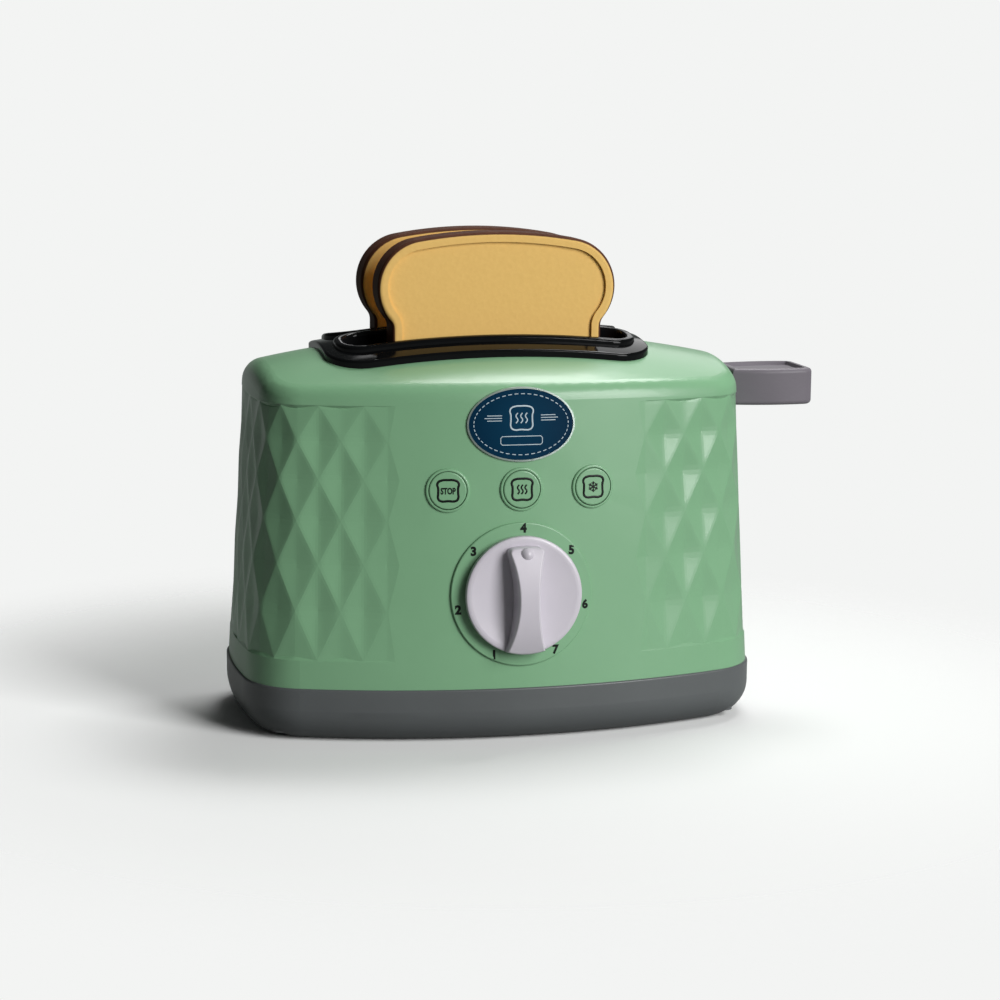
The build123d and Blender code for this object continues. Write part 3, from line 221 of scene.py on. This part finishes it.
plastics = {
    # injection moulded ABS from a finely polished tool: broad clear highlights on a faint orange peel
    "casing_green": {"name": "mouldedSageAbs", "pale": "#84B38B", "deep": "#7DAC84",
                     "rough": (0.27, 0.36), "shine": 0.36, "cloud": 40.0, "peel": 1.4,
                     "height": 0.006, "coat": 0.14},
    # injection moulded ABS from a satin tool: softer highlights
    "base_grey": {"name": "mouldedGreyAbs", "pale": "#616566", "deep": "#595C5D",
                  "rough": (0.32, 0.42), "shine": 0.4, "cloud": 35.0, "peel": 1.2,
                  "height": 0.008, "coat": 0.0},
    # polished polystyrene: near mirror highlights, nearly black
    "frame_black": {"name": "polishedBlackStyrene", "pale": "#121314", "deep": "#0C0D0E",
                    "rough": (0.07, 0.12), "shine": 0.12, "cloud": 30.0, "peel": 3.0,
                    "height": 0.002, "coat": 0.0},
    # moulded polypropylene behind the casing: dull, dark
    "inner_grey": {"name": "mouldedInnerPolypropylene", "pale": "#4A4B4D", "deep": "#3E3F41",
                   "rough": (0.42, 0.52), "shine": 0.4, "cloud": 20.0, "peel": 0.9,
                   "height": 0.01, "coat": 0.0},
    # turned acetal: waxy, milky
    "bush_white": {"name": "turnedAcetal", "pale": "#E7E5DF", "deep": "#DEDCD5",
                   "rough": (0.34, 0.44), "shine": 0.45, "cloud": 10.0, "peel": 0.6,
                   "height": 0.006, "coat": 0.0},
    # moulded ABS, off-white with a lilac cast like the knob; its darker grey lilac tone is painted shade;
    # satin
    "lever_white": {"name": "lilacWhiteAbsPaintedShade", "pale": "#7B767D", "deep": "#726D74",
                    "rough": (0.3, 0.38), "shine": 0.16, "cloud": 16.0, "peel": 1.1,
                    "height": 0.007, "coat": 0.0},
    # moulded ABS, off-white with a lilac cast, semi-gloss
    "knob_white": {"name": "mouldedLilacWhiteAbs", "pale": "#D5D0D8", "deep": "#CDC8D1",
                   "rough": (0.26, 0.34), "shine": 0.4, "cloud": 22.0, "peel": 1.1,
                   "height": 0.005, "coat": 0.1},
}
plasticIndex = 1.54
coatRough = 0.12


def twoTone(tree, first, second, share):  # goes from the first colour to the second as the share rises
    return addNode(tree, "ShaderNodeMix", {6: linearColour(first), 7: linearColour(second)}, {0: share},
                   data_type="RGBA").outputs[2]


def mouldedPlastic(look):
    material, tree = newMaterial(look["name"])
    place = addNode(tree, "ShaderNodeTexCoord").outputs["Object"]
    cloud = addNode(tree, "ShaderNodeTexNoise",
                    {"Scale": grainScale(look["cloud"]), "Detail": 3.0}, {"Vector": place})
    tone = twoTone(tree, look["deep"], look["pale"], cloud.outputs["Fac"])
    low, high = look["rough"]
    gloss = addNode(tree, "ShaderNodeMapRange", {"To Min": low, "To Max": high},
                    {"Value": cloud.outputs["Fac"]})
    peel = addNode(tree, "ShaderNodeTexNoise",
                   {"Scale": grainScale(look["peel"]), "Detail": 2.0}, {"Vector": place})
    relief = addNode(tree, "ShaderNodeBump", {"Distance": look["height"] * mm},
                     {"Height": peel.outputs["Fac"]})
    skin = addNode(tree, "ShaderNodeBsdfPrincipled",
                   {"IOR": plasticIndex, "Specular IOR Level": look["shine"],
                    "Coat Weight": look["coat"], "Coat Roughness": coatRough},
                   {"Base Color": tone, "Roughness": gloss.outputs[0],
                    "Normal": relief.outputs[0]})
    addNode(tree, "ShaderNodeOutputMaterial", links={"Surface": skin.outputs[0]})
    return material


laminate = {
    "name": "laminatedNavyPrint",
    "middle": "#0E3B55",
    "edge": "#082B43",
    "reach": 19.0,  # mm from the middle, where the edge colour is full
    "grain": 0.5,
    "spread": 2.0,  # mm by which the grain shifts the change of colour
    "rough": 0.25,
    "shine": 0.04,
    "index": 1.5,
}


def navyPrint():  # printed film under a clear gloss laminate, a little lighter in the middle
    material, tree = newMaterial(laminate["name"])
    place = addNode(tree, "ShaderNodeTexCoord").outputs["Object"]
    low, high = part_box("badge_plate")
    middle = [(a + b) / 2 for a, b in zip(low, high)]
    local = addNode(tree, "ShaderNodeMapping", {"Location": [-c for c in middle]}, {"Vector": place})
    reach = addNode(tree, "ShaderNodeVectorMath", links={0: local.outputs[0]}, operation="LENGTH")
    grain = addNode(tree, "ShaderNodeTexNoise", {"Scale": grainScale(laminate["grain"]), "Detail": 2.0},
                    {"Vector": place})
    spread = addNode(tree, "ShaderNodeMath", {1: laminate["spread"] * mm}, {0: grain.outputs["Fac"]},
                     operation="MULTIPLY")
    ring = addNode(tree, "ShaderNodeMath", links={0: reach.outputs["Value"], 1: spread.outputs[0]},
                   operation="ADD")
    share = addNode(tree, "ShaderNodeMapRange", {"From Max": laminate["reach"] * mm},
                    {"Value": ring.outputs[0]})
    tone = twoTone(tree, laminate["middle"], laminate["edge"], share.outputs[0])
    skin = addNode(tree, "ShaderNodeBsdfPrincipled",
                   {"Roughness": laminate["rough"], "IOR": laminate["index"],
                    "Specular IOR Level": laminate["shine"]},
                   {"Base Color": tone})
    addNode(tree, "ShaderNodeOutputMaterial", links={"Surface": skin.outputs[0]})
    return material


metals = {
    # vacuum plated ring, fine and bright
    "badge_silver": {"name": "vacuumPlatedSilver", "pale": "#A9B5AF", "deep": "#A3AFA9",
                     "rough": (0.26, 0.3), "grain": 3.0},
    # zinc plated steel: dull sheen with a faint crystalline mottle
    "steel": {"name": "zincPlatedSteel", "pale": "#C2C5C8", "deep": "#A9ADB1",
              "rough": (0.28, 0.42), "grain": 1.5},
}


def platedMetal(look):
    material, tree = newMaterial(look["name"])
    place = addNode(tree, "ShaderNodeTexCoord").outputs["Object"]
    mottle = addNode(tree, "ShaderNodeTexVoronoi", {"Scale": grainScale(look["grain"])},
                     {"Vector": place})
    shade = addNode(tree, "ShaderNodeSeparateColor", links={0: mottle.outputs["Color"]})
    tone = twoTone(tree, look["deep"], look["pale"], shade.outputs[0])
    low, high = look["rough"]
    gloss = addNode(tree, "ShaderNodeMapRange", {"To Min": low, "To Max": high},
                    {"Value": shade.outputs[1]})
    skin = addNode(tree, "ShaderNodeBsdfPrincipled", {"Metallic": 1.0},
                   {"Base Color": tone, "Roughness": gloss.outputs[0]})
    addNode(tree, "ShaderNodeOutputMaterial", links={"Surface": skin.outputs[0]})
    return material


bread = {
    "name": "sprayedBreadPolyethylene",
    "crumbPale": "#F2C87A",
    "crumbDeep": "#EABF71",
    "crust": "#64402F",
    "crustDark": "#432A22",
    "crustStart": 5.1,  # mm from the parting plane, where the tan turns to crust
    "crustEnd": 4.7,
    "crustWander": 0.15,
    "edgeStart": 0.35,  # cosines between which the outer rounding turns to crust, by how far it faces out
    "edgeEnd": 0.55,
    "drift": 6.0,  # mm, size of the darker patches in the crust
    "speckle": 1.1,
    "pores": 2.2,
    "poreDepth": 0.05,
    "rough": 0.6,
    "shine": 0.03,
    "index": 1.51,
}


def breadSkin():  # blow moulded polyethylene, tan right through, with the crust sprayed round the edge
    material, tree = newMaterial(bread["name"])
    row = abs(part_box("slice_1_front")[1][1])
    coordinates = addNode(tree, "ShaderNodeTexCoord").outputs
    place = coordinates["Object"]
    parts = addNode(tree, "ShaderNodeSeparateXYZ", links={0: place})
    mirrored = addNode(tree, "ShaderNodeMath", links={0: parts.outputs["Y"]}, operation="ABSOLUTE")
    across = addNode(tree, "ShaderNodeMath", {1: row}, {0: mirrored.outputs[0]}, operation="SUBTRACT")
    depth = addNode(tree, "ShaderNodeMath", links={0: across.outputs[0]}, operation="ABSOLUTE")
    drift = addNode(tree, "ShaderNodeTexNoise", {"Scale": grainScale(bread["drift"]), "Detail": 4.0},
                    {"Vector": place})
    sway = bread["crustWander"] * mm
    wander = addNode(tree, "ShaderNodeMapRange", {"To Min": -sway, "To Max": sway},
                     {"Value": drift.outputs["Fac"]})
    edge = addNode(tree, "ShaderNodeMath", links={0: depth.outputs[0], 1: wander.outputs[0]},
                   operation="ADD")
    band = addNode(tree, "ShaderNodeMapRange",
                   {"From Min": bread["crustEnd"] * mm, "From Max": bread["crustStart"] * mm,
                    "To Min": 1.0, "To Max": 0.0},
                   {"Value": edge.outputs[0]}, interpolation_type="SMOOTHSTEP")
    low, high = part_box("slice_1_front")
    middle = [-(a + b) / 2 for a, b in zip(low, high)]
    spoke = addNode(tree, "ShaderNodeVectorMath", {1: middle}, {0: place}, operation="ADD")
    flat = addNode(tree, "ShaderNodeVectorMath", {1: (1, 0, 1)}, {0: spoke.outputs[0]},
                   operation="MULTIPLY")
    outward = addNode(tree, "ShaderNodeVectorMath", links={0: flat.outputs[0]}, operation="NORMALIZE")
    facing = addNode(tree, "ShaderNodeVectorMath",
                     links={0: outward.outputs[0], 1: coordinates["Normal"]}, operation="DOT_PRODUCT")
    rounded = addNode(tree, "ShaderNodeMapRange",
                      {"From Min": bread["edgeStart"], "From Max": bread["edgeEnd"]},
                      {"Value": facing.outputs["Value"]}, interpolation_type="SMOOTHSTEP")
    spray = addNode(tree, "ShaderNodeMath", links={0: band.outputs[0], 1: rounded.outputs[0]},
                    operation="MAXIMUM")
    speckle = addNode(tree, "ShaderNodeTexNoise",
                      {"Scale": grainScale(bread["speckle"]), "Detail": 3.0}, {"Vector": place})
    crumb = twoTone(tree, bread["crumbDeep"], bread["crumbPale"], speckle.outputs["Fac"])
    crust = twoTone(tree, bread["crust"], bread["crustDark"], drift.outputs["Fac"])
    tone = addNode(tree, "ShaderNodeMix", links={0: spray.outputs[0], 6: crumb, 7: crust},
                   data_type="RGBA")
    pores = addNode(tree, "ShaderNodeTexVoronoi", {"Scale": grainScale(bread["pores"])},
                    {"Vector": place})
    relief = addNode(tree, "ShaderNodeBump", {"Distance": bread["poreDepth"] * mm},
                     {"Height": pores.outputs["Distance"]})
    skin = addNode(tree, "ShaderNodeBsdfPrincipled",
                   {"Roughness": bread["rough"], "IOR": bread["index"],
                    "Specular IOR Level": bread["shine"]},
                   {"Base Color": tone.outputs[2], "Normal": relief.outputs[0]})
    addNode(tree, "ShaderNodeOutputMaterial", links={"Surface": skin.outputs[0]})
    return material


inks = {
    "black": {"name": "padPrintedBlackInk", "pale": "#151B18", "deep": "#0D110F"},
    "white": {"name": "padPrintedPaleInk", "pale": "#C9D8DF", "deep": "#B7C9D2"},
}
inkFilm = {"grain": 0.6, "rough": 0.38, "shine": 0.15, "index": 1.5}


def padPrint(look):  # thin solvent ink, slightly uneven where the pad lifted off
    material, tree = newMaterial(look["name"])
    place = addNode(tree, "ShaderNodeTexCoord").outputs["Object"]
    grain = addNode(tree, "ShaderNodeTexNoise", {"Scale": grainScale(inkFilm["grain"]), "Detail": 2.0},
                    {"Vector": place})
    tone = twoTone(tree, look["deep"], look["pale"], grain.outputs["Fac"])
    skin = addNode(tree, "ShaderNodeBsdfPrincipled",
                   {"Roughness": inkFilm["rough"], "IOR": inkFilm["index"],
                    "Specular IOR Level": inkFilm["shine"]},
                   {"Base Color": tone})
    addNode(tree, "ShaderNodeOutputMaterial", links={"Surface": skin.outputs[0]})
    return material


finishes = {slot: mouldedPlastic(look) for slot, look in plastics.items()}
finishes.update({slot: platedMetal(look) for slot, look in metals.items()})
finishes["badge_navy"] = navyPrint()
finishes["bread_tan"] = breadSkin()
inkSkins = {colour: padPrint(look) for colour, look in inks.items()}
for node in nodes.values():
    slotName = node.data.materials[0].name
    for index in range(len(node.data.materials)):
        node.data.materials[index] = finishes[slotName]
print("finishes are made and put on the solids")


weldReach = 0.002  # mm, faces of the solid meet within this

casing = {
    "bandLow": 30.0,  # mm, lowest and highest corners of the diamonds
    "bandHigh": 120.0,
    "innermost": 45.0,  # mm from the middle, nothing flat nearer than this is a diamond
    "flatness": 0.1,  # degrees by which a diamond's flat face may bend, and mm by which its place may be off
    "steepest": 0.3,  # sine of the lean that a diamond's face may have
    "frontal": 0.9999,  # faces squarer to the front than this are the plain panel
    "wallLean": 0.5,  # sine of the lean that the skin round the diamonds may have
    "cuts": 7,
    "ridge": 2.0,  # degrees of fold that make a ridge
    "smoothing": 0.5,
    "dishRounds": 4,
    "ridgeRounds": 1,
    "endSlope": 1.6,  # how far the sunk ends of the diamonds draw back, for each part of their depth
}


def markDiamonds(mesh):
    mark = mesh.attributes.new("diamond", "INT", "FACE")
    low = (casing["bandLow"] - casing["flatness"]) * mm
    high = (casing["bandHigh"] + casing["flatness"]) * mm
    limit = math.cos(math.radians(casing["flatness"]))
    corners = mesh.corner_normals
    found = 0
    for face in mesh.polygons:
        heights = [mesh.vertices[i].co.z for i in face.vertices]
        slanted = abs(face.normal.z) < casing["steepest"] and abs(face.normal.y) < casing["frontal"]
        if not (slanted and low < min(heights) and max(heights) < high):
            continue
        if abs(face.center.x) < casing["innermost"] * mm:
            continue
        if all(face.normal.dot(corners[i].vector) > limit for i in face.loop_indices):
            mark.data[face.index].value = 1
            found += 1
    return found


def selectVertices(mesh, choose):
    form = bmesh.from_edit_mesh(mesh)
    for vertex in form.verts:
        vertex.select = choose(vertex)
    form.select_flush_mode()
    bmesh.update_edit_mesh(mesh)


def easeEnds(mesh):  # the ledges above and below the sunk diamonds become slopes
    middle = (casing["bandLow"] + casing["bandHigh"]) / 2 * mm
    half = (casing["bandHigh"] - casing["bandLow"]) / 2 * mm
    form = bmesh.from_edit_mesh(mesh)
    form.verts.index_update()
    form.normal_update()
    mark = form.faces.layers.int["diamond"]
    lean = casing["wallLean"]
    walls = {face for face in form.faces if not face[mark] and abs(face.normal.z) < lean}
    corners = [[vertex.index for vertex in face.verts] for face in walls]
    skin = BVHTree.FromPolygons([vertex.co for vertex in form.verts], corners)
    for vertex in form.verts:
        atEnd = abs(abs(vertex.co.z - middle) - half) < casing["flatness"] * mm
        dished = [edge for edge in vertex.link_edges
                  if any(face[mark] for face in edge.link_faces)]
        if atEnd and dished and not walls.intersection(vertex.link_faces):
            sunk = skin.find_nearest(vertex.co)[3]
            vertex.co.z += math.copysign(casing["endSlope"] * sunk, middle - vertex.co.z)
            for edge in dished:
                edge.smooth = True
    bmesh.update_edit_mesh(mesh)


def copyOf(nodeName, name):
    piece = bpy.data.objects.new(name, nodes[nodeName].data.copy())
    bpy.context.scene.collection.objects.link(piece)
    return piece


def weld(piece):  # joins the faces of the copy and stays in edit mode, with the folds kept sharp
    takeUp(piece)
    bpy.ops.object.mode_set(mode="EDIT")
    bpy.ops.mesh.select_mode(type="VERT")
    bpy.ops.mesh.select_all(action="SELECT")
    bpy.ops.mesh.remove_doubles(threshold=weldReach * mm, use_sharp_edge_from_normals=True)


def putInPlace(piece, nodeName, body):
    bpy.ops.object.mode_set(mode="OBJECT")
    bpy.ops.mesh.customdata_custom_splitnormals_clear()
    bpy.ops.object.modifier_add(type="WEIGHTED_NORMAL")
    piece.modifiers[-1].keep_sharp = True
    bpy.ops.object.modifier_apply(modifier=piece.modifiers[-1].name)
    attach(piece, body)
    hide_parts(nodeName)


def softenedShell(nodeName, name):
    piece = copyOf(nodeName, name)
    print(name, "has", markDiamonds(piece.data), "flat faces in its diamonds")
    weld(piece)
    bpy.ops.mesh.select_mode(type="FACE")
    form = bmesh.from_edit_mesh(piece.data)
    mark = form.faces.layers.int["diamond"]
    for face in form.faces:
        face.select = face[mark] == 1
    for edge in form.edges:
        if edge.link_faces and all(face[mark] for face in edge.link_faces):
            edge.smooth = True
    form.select_flush_mode()
    bmesh.update_edit_mesh(piece.data)
    bpy.ops.mesh.subdivide(number_cuts=casing["cuts"])
    bpy.ops.mesh.select_mode(type="VERT")
    form = bmesh.from_edit_mesh(piece.data)
    form.verts.index_update()
    mark = form.faces.layers.int["diamond"]
    inner = {vertex.index for vertex in form.verts
             if vertex.link_faces and all(face[mark] for face in vertex.link_faces)}
    ridges = set()
    for edge in form.edges:
        if len(edge.link_faces) == 2 and all(face[mark] for face in edge.link_faces):
            if edge.calc_face_angle_signed() > math.radians(casing["ridge"]):
                ridges.update(vertex.index for vertex in edge.verts)
    hollows = inner - ridges
    selectVertices(piece.data, lambda vertex: vertex.index in hollows)
    bpy.ops.mesh.vertices_smooth(factor=casing["smoothing"], repeat=casing["dishRounds"])
    selectVertices(piece.data, lambda vertex: vertex.index in inner)
    bpy.ops.mesh.vertices_smooth(factor=casing["smoothing"], repeat=casing["ridgeRounds"])
    easeEnds(piece.data)
    putInPlace(piece, nodeName, "housing")


softenedShell("front_shell", "casingFront")
softenedShell("rear_shell", "casingRear")
print("casing halves are softened")


def jointNamed(name):
    return next(joint for joint in frame["joints"] if joint["name"] == name)


knob = {
    "rim": 6.2,  # mm from the back of the solid knob to its rim
    "lowRim": 2.8,  # the same on the piece, whose disc is thinner and whose grip stands taller above it
    "crest": 11.0,
}


def thinKnob():
    piece = copyOf("dial_knob", "dialKnob")
    weld(piece)
    ahead = Vector(jointNamed("dial_turn")["axis"]).normalized()
    levels = [vertex.co.dot(ahead) for vertex in piece.data.vertices]
    back, rim, low = min(levels), knob["rim"] * mm, knob["lowRim"] * mm
    stretch = (knob["crest"] * mm - low) / (max(levels) - back - rim)
    form = bmesh.from_edit_mesh(piece.data)
    for vertex in form.verts:
        level = vertex.co.dot(ahead) - back
        lowered = level * low / rim if level < rim else low + (level - rim) * stretch
        vertex.co += ahead * (lowered - level)
    bmesh.update_edit_mesh(piece.data)
    putInPlace(piece, "dial_knob", "dial")


thinKnob()
print("dial knob is brought to its proportions")


springs = {  # node, its piece and the joint that presses it
    "lift_springs": ("liftSprings", "lever_slide"),
    "spring_stop": ("springStop", "stop_press"),
    "spring_reheat": ("springReheat", "reheat_press"),
    "spring_defrost": ("springDefrost", "defrost_press"),
}


def pressedSpring(nodeName, name):  # copies the spring onto the housing in place of its node
    piece = copyOf(nodeName, name)
    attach(piece, "housing")
    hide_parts(nodeName)
    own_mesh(piece)


for nodeName, (name, jointName) in springs.items():
    pressedSpring(nodeName, name)


wellAhead = -1.0  # metres, in front of the whole toy


def layOn(piece, nodeName):  # flat print drawn in X and Z is bent onto the front of a node
    mesh = nodes[nodeName].data
    corners = [face.vertices for face in mesh.polygons]
    skin = BVHTree.FromPolygons([vertex.co for vertex in mesh.vertices], corners)
    for vertex in piece.data.vertices:
        place = skin.ray_cast(Vector((vertex.co.x, wellAhead, vertex.co.z)), Vector((0, 1, 0)))[0]
        vertex.co.y += place.y


inkLine = {
    "flat": 0.3,  # how far a line stands out, as a share of half its width
    "roundness": 2,
    "steps": 5,
    "stride": 1.2,  # mm between points on a straight run
    "weld": 0.001,
    "smooth": 50.0,  # degrees
}


def closeSteps(points, closed):  # straight runs need points near each other to follow a bowed face
    ends = points[1:] + points[:1] if closed else points[1:]
    steps = []
    for (x0, z0), (x1, z1) in zip(points, ends):
        count = max(1, round(math.dist((x0, z0), (x1, z1)) / inkLine["stride"]))
        steps += [(x0 + (x1 - x0) * i / count, z0 + (z1 - z0) * i / count) for i in range(count)]
    return steps if closed else steps + [points[-1]]


def drawLine(points, width, closed=False, soft=True):  # a drawn line as a low flattened cord of ink
    points = points if soft else closeSteps(points, closed)
    bpy.ops.object.select_all(action="DESELECT")
    bpy.ops.curve.primitive_bezier_curve_add()
    line = bpy.context.object
    spline = line.data.splines[0]
    spline.bezier_points.add(len(points) - 2)
    for knot, (x, z) in zip(spline.bezier_points, points):
        knot.co = (x * mm, 0, z * mm)
        knot.handle_left_type = knot.handle_right_type = "AUTO" if soft else "VECTOR"
    spline.use_cyclic_u = closed
    line.data.resolution_u = inkLine["steps"]
    line.data.bevel_depth = width * mm / 2
    line.data.bevel_resolution = inkLine["roundness"]
    line.data.use_fill_caps = not closed
    bpy.ops.object.convert(target="MESH")
    for vertex in line.data.vertices:
        vertex.co.y *= inkLine["flat"]
    return line


lettering = {
    "oversize": 1.4,  # letters are set larger than they end up, then brought to their height
    "thick": 0.05,
    "steps": 5,
}


def writeText(words, x, z, height, weight, width=None):
    bpy.ops.object.select_all(action="DESELECT")
    bpy.ops.object.text_add()
    text = bpy.context.object
    text.data.body = words
    text.data.size = height * mm * lettering["oversize"]
    text.data.offset = height * mm * weight
    text.data.extrude = lettering["thick"] * mm
    text.data.align_x = "CENTER"
    text.data.resolution_u = lettering["steps"]
    bpy.ops.object.convert(target="MESH")
    corners = [vertex.co.copy() for vertex in text.data.vertices]
    low = Vector([min(corner[i] for corner in corners) for i in range(3)])
    high = Vector([max(corner[i] for corner in corners) for i in range(3)])
    tall = height * mm / (high.y - low.y)
    wide = tall if width is None else width * mm / (high.x - low.x)
    for vertex, corner in zip(text.data.vertices, corners):
        across = (corner.x - (low.x + high.x) / 2) * wide
        up = (corner.y - (low.y + high.y) / 2) * tall
        vertex.co = (x * mm + across, -corner.z, z * mm + up)
    return text


def joinInk(strokes, name, colour, nodeName, body):
    bpy.ops.object.select_all(action="DESELECT")
    for stroke in strokes:
        stroke.select_set(True)
    bpy.context.view_layer.objects.active = strokes[0]
    if len(strokes) > 1:
        bpy.ops.object.join()
    piece = bpy.context.view_layer.objects.active
    piece.name = name
    takeUp(piece)
    bpy.ops.object.transform_apply(location=True, rotation=True, scale=True)
    bpy.ops.object.mode_set(mode="EDIT")
    bpy.ops.mesh.select_all(action="SELECT")
    bpy.ops.mesh.remove_doubles(threshold=inkLine["weld"] * mm)
    bpy.ops.mesh.normals_make_consistent(inside=False)
    bpy.ops.object.mode_set(mode="OBJECT")
    bpy.ops.object.shade_smooth_by_angle(angle=math.radians(inkLine["smooth"]))
    layOn(piece, nodeName)
    piece.data.materials.clear()
    piece.data.materials.append(inkSkins[colour])
    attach(piece, body)
    return piece


halfToast = (  # right half of a slice of bread seen from the front, as shares of its width
    (0.0, 0.49), (0.3, 0.47), (0.44, 0.4), (0.49, 0.28), (0.455, 0.14), (0.45, -0.1), (0.45, -0.36),
    (0.36, -0.46), (0.0, -0.47),
)
waveBends = ((0.6, 0.5), (-0.7, 0.2), (0.7, -0.2), (-0.6, -0.5))  # shares of the sway and of the height


def toastOutline(x, z, size):
    right = [(x + across * size, z + up * size) for across, up in halfToast]
    left = [(x - across * size, z + up * size) for across, up in halfToast[-2:0:-1]]
    return right + left


def heatWave(x, z, tall, sway):
    return [(x + across * sway, z + up * tall) for across, up in waveBends]


icons = {
    "pitch": 26.2,  # mm between buttons
    "height": 90.6,
    "size": 7.7,
    "line": 0.86,
    "waveGap": 1.35,
    "waveTall": 3.3,
    "waveSway": 0.45,
    "waveLine": 0.6,
    "arms": 6,
    "armLength": 1.9,
    "armLine": 0.5,
    "forkPlace": 0.5,  # share of the arm's length
    "forkTurn": 48,  # degrees off the arm
    "forkLength": 0.42,  # share of the arm's length
    "forkLine": 0.85,  # share of the arm's line
    "wordTall": 2.4,
    "wordWide": 5.3,
    "wordDrop": 0.1,
    "wordWeight": 0.06,
}


def stepAway(start, degrees, reach):  # degrees anticlockwise from +X
    turn = math.radians(degrees)
    return (start[0] + math.cos(turn) * reach, start[1] + math.sin(turn) * reach)


def stopSign():
    x, z = -icons["pitch"], icons["height"]
    strokes = [drawLine(toastOutline(x, z, icons["size"]), icons["line"], closed=True)]
    strokes.append(writeText("STOP", x, z - icons["wordDrop"], icons["wordTall"], icons["wordWeight"],
                             icons["wordWide"]))
    joinInk(strokes, "signStop", "black", "button_stop", "stop")


def reheatSign():
    z = icons["height"]
    strokes = [drawLine(toastOutline(0, z, icons["size"]), icons["line"], closed=True)]
    for place in (-1, 0, 1):
        wave = heatWave(place * icons["waveGap"], z, icons["waveTall"], icons["waveSway"])
        strokes.append(drawLine(wave, icons["waveLine"]))
    joinInk(strokes, "signReheat", "black", "button_reheat", "reheat")


def defrostSign():
    x, z = icons["pitch"], icons["height"]
    strokes = [drawLine(toastOutline(x, z, icons["size"]), icons["line"], closed=True)]
    for arm in range(icons["arms"]):
        turn = 360 / icons["arms"] * (arm + 0.5)
        end = stepAway((x, z), turn, icons["armLength"])
        strokes.append(drawLine([(x, z), end], icons["armLine"], soft=False))
        fork = stepAway((x, z), turn, icons["armLength"] * icons["forkPlace"])
        for side in (-icons["forkTurn"], icons["forkTurn"]):
            tip = stepAway(fork, turn + side, icons["armLength"] * icons["forkLength"])
            strokes.append(drawLine([fork, tip], icons["armLine"] * icons["forkLine"], soft=False))
    joinInk(strokes, "signDefrost", "black", "button_defrost", "defrost")


dialFigures = {
    "centre": 53.5,  # mm up the front
    "reach": 23.5,
    "turns": (244, 192, 138, 89, 40, -11, -59),  # degrees anticlockwise from +X, from the 1 to the 7
    "tall": 3.4,
    "weight": 0.075,
}


def dialNumbers():
    tall, weight = dialFigures["tall"], dialFigures["weight"]
    strokes = []
    for figure, degrees in enumerate(dialFigures["turns"], 1):
        x, z = stepAway((0, dialFigures["centre"]), degrees, dialFigures["reach"])
        strokes.append(writeText(str(figure), x, z, tall, weight))
    joinInk(strokes, "dialFigures", "black", "front_shell", "housing")


badge = {
    "centre": 113.4,  # mm up the front
    "halfWide": 17.0,
    "halfTall": 10.7,
    "dashes": 46,
    "dashShare": 0.58,
    "line": 0.28,
    "toast": 8.6,
    "toastRise": 2.2,
    "toastLine": 1.9,  # share of the line, as for the waves
    "waveGap": 1.7,
    "waveTall": 3.6,
    "waveSway": 0.5,
    "waveLine": 1.5,
    "barStart": 7.0,
    "barEnd": 13.2,
    "barGap": 0.9,
    "plaqueWide": 15.0,
    "plaqueTall": 3.0,
    "plaqueDrop": 5.7,
    "plaqueCorner": 0.4,  # share of half its height
}


def badgePrint():
    z = badge["centre"]
    strokes = []
    for dash in range(badge["dashes"]):
        arc = []
        for share in (0.0, 0.5, 1.0):
            turn = 2 * math.pi * (dash + share * badge["dashShare"]) / badge["dashes"]
            arc.append((math.cos(turn) * badge["halfWide"], z + math.sin(turn) * badge["halfTall"]))
        strokes.append(drawLine(arc, badge["line"]))
    height = z + badge["toastRise"]
    strokes.append(drawLine(toastOutline(0, height, badge["toast"]), badge["line"] * badge["toastLine"],
                            closed=True))
    for place in (-1, 0, 1):
        wave = heatWave(place * badge["waveGap"], height, badge["waveTall"], badge["waveSway"])
        strokes.append(drawLine(wave, badge["line"] * badge["waveLine"]))
    for side in (-1, 1):
        for level in (badge["barGap"], 0, -badge["barGap"]):
            end = badge["barEnd"] - abs(level)
            run = [(side * badge["barStart"], height + level), (side * end, height + level)]
            strokes.append(drawLine(run, badge["line"], soft=False))
    wide, tall, low = badge["plaqueWide"] / 2, badge["plaqueTall"] / 2, z - badge["plaqueDrop"]
    corner = tall * badge["plaqueCorner"]
    right = [(wide - corner, tall), (wide, tall - corner), (wide, corner - tall), (wide - corner, -tall)]
    left = [(-across, up) for across, up in reversed(right)]
    rim = [(across, low + up) for across, up in right + left]
    strokes.append(drawLine(rim, badge["line"], closed=True, soft=False))
    joinInk(strokes, "badgePrint", "white", "badge_plate", "housing")


stopSign()
reheatSign()
defrostSign()
dialNumbers()
badgePrint()
print("signs, dial figures and badge print are drawn")

bpy.context.scene.view_settings.view_transform = "Standard"
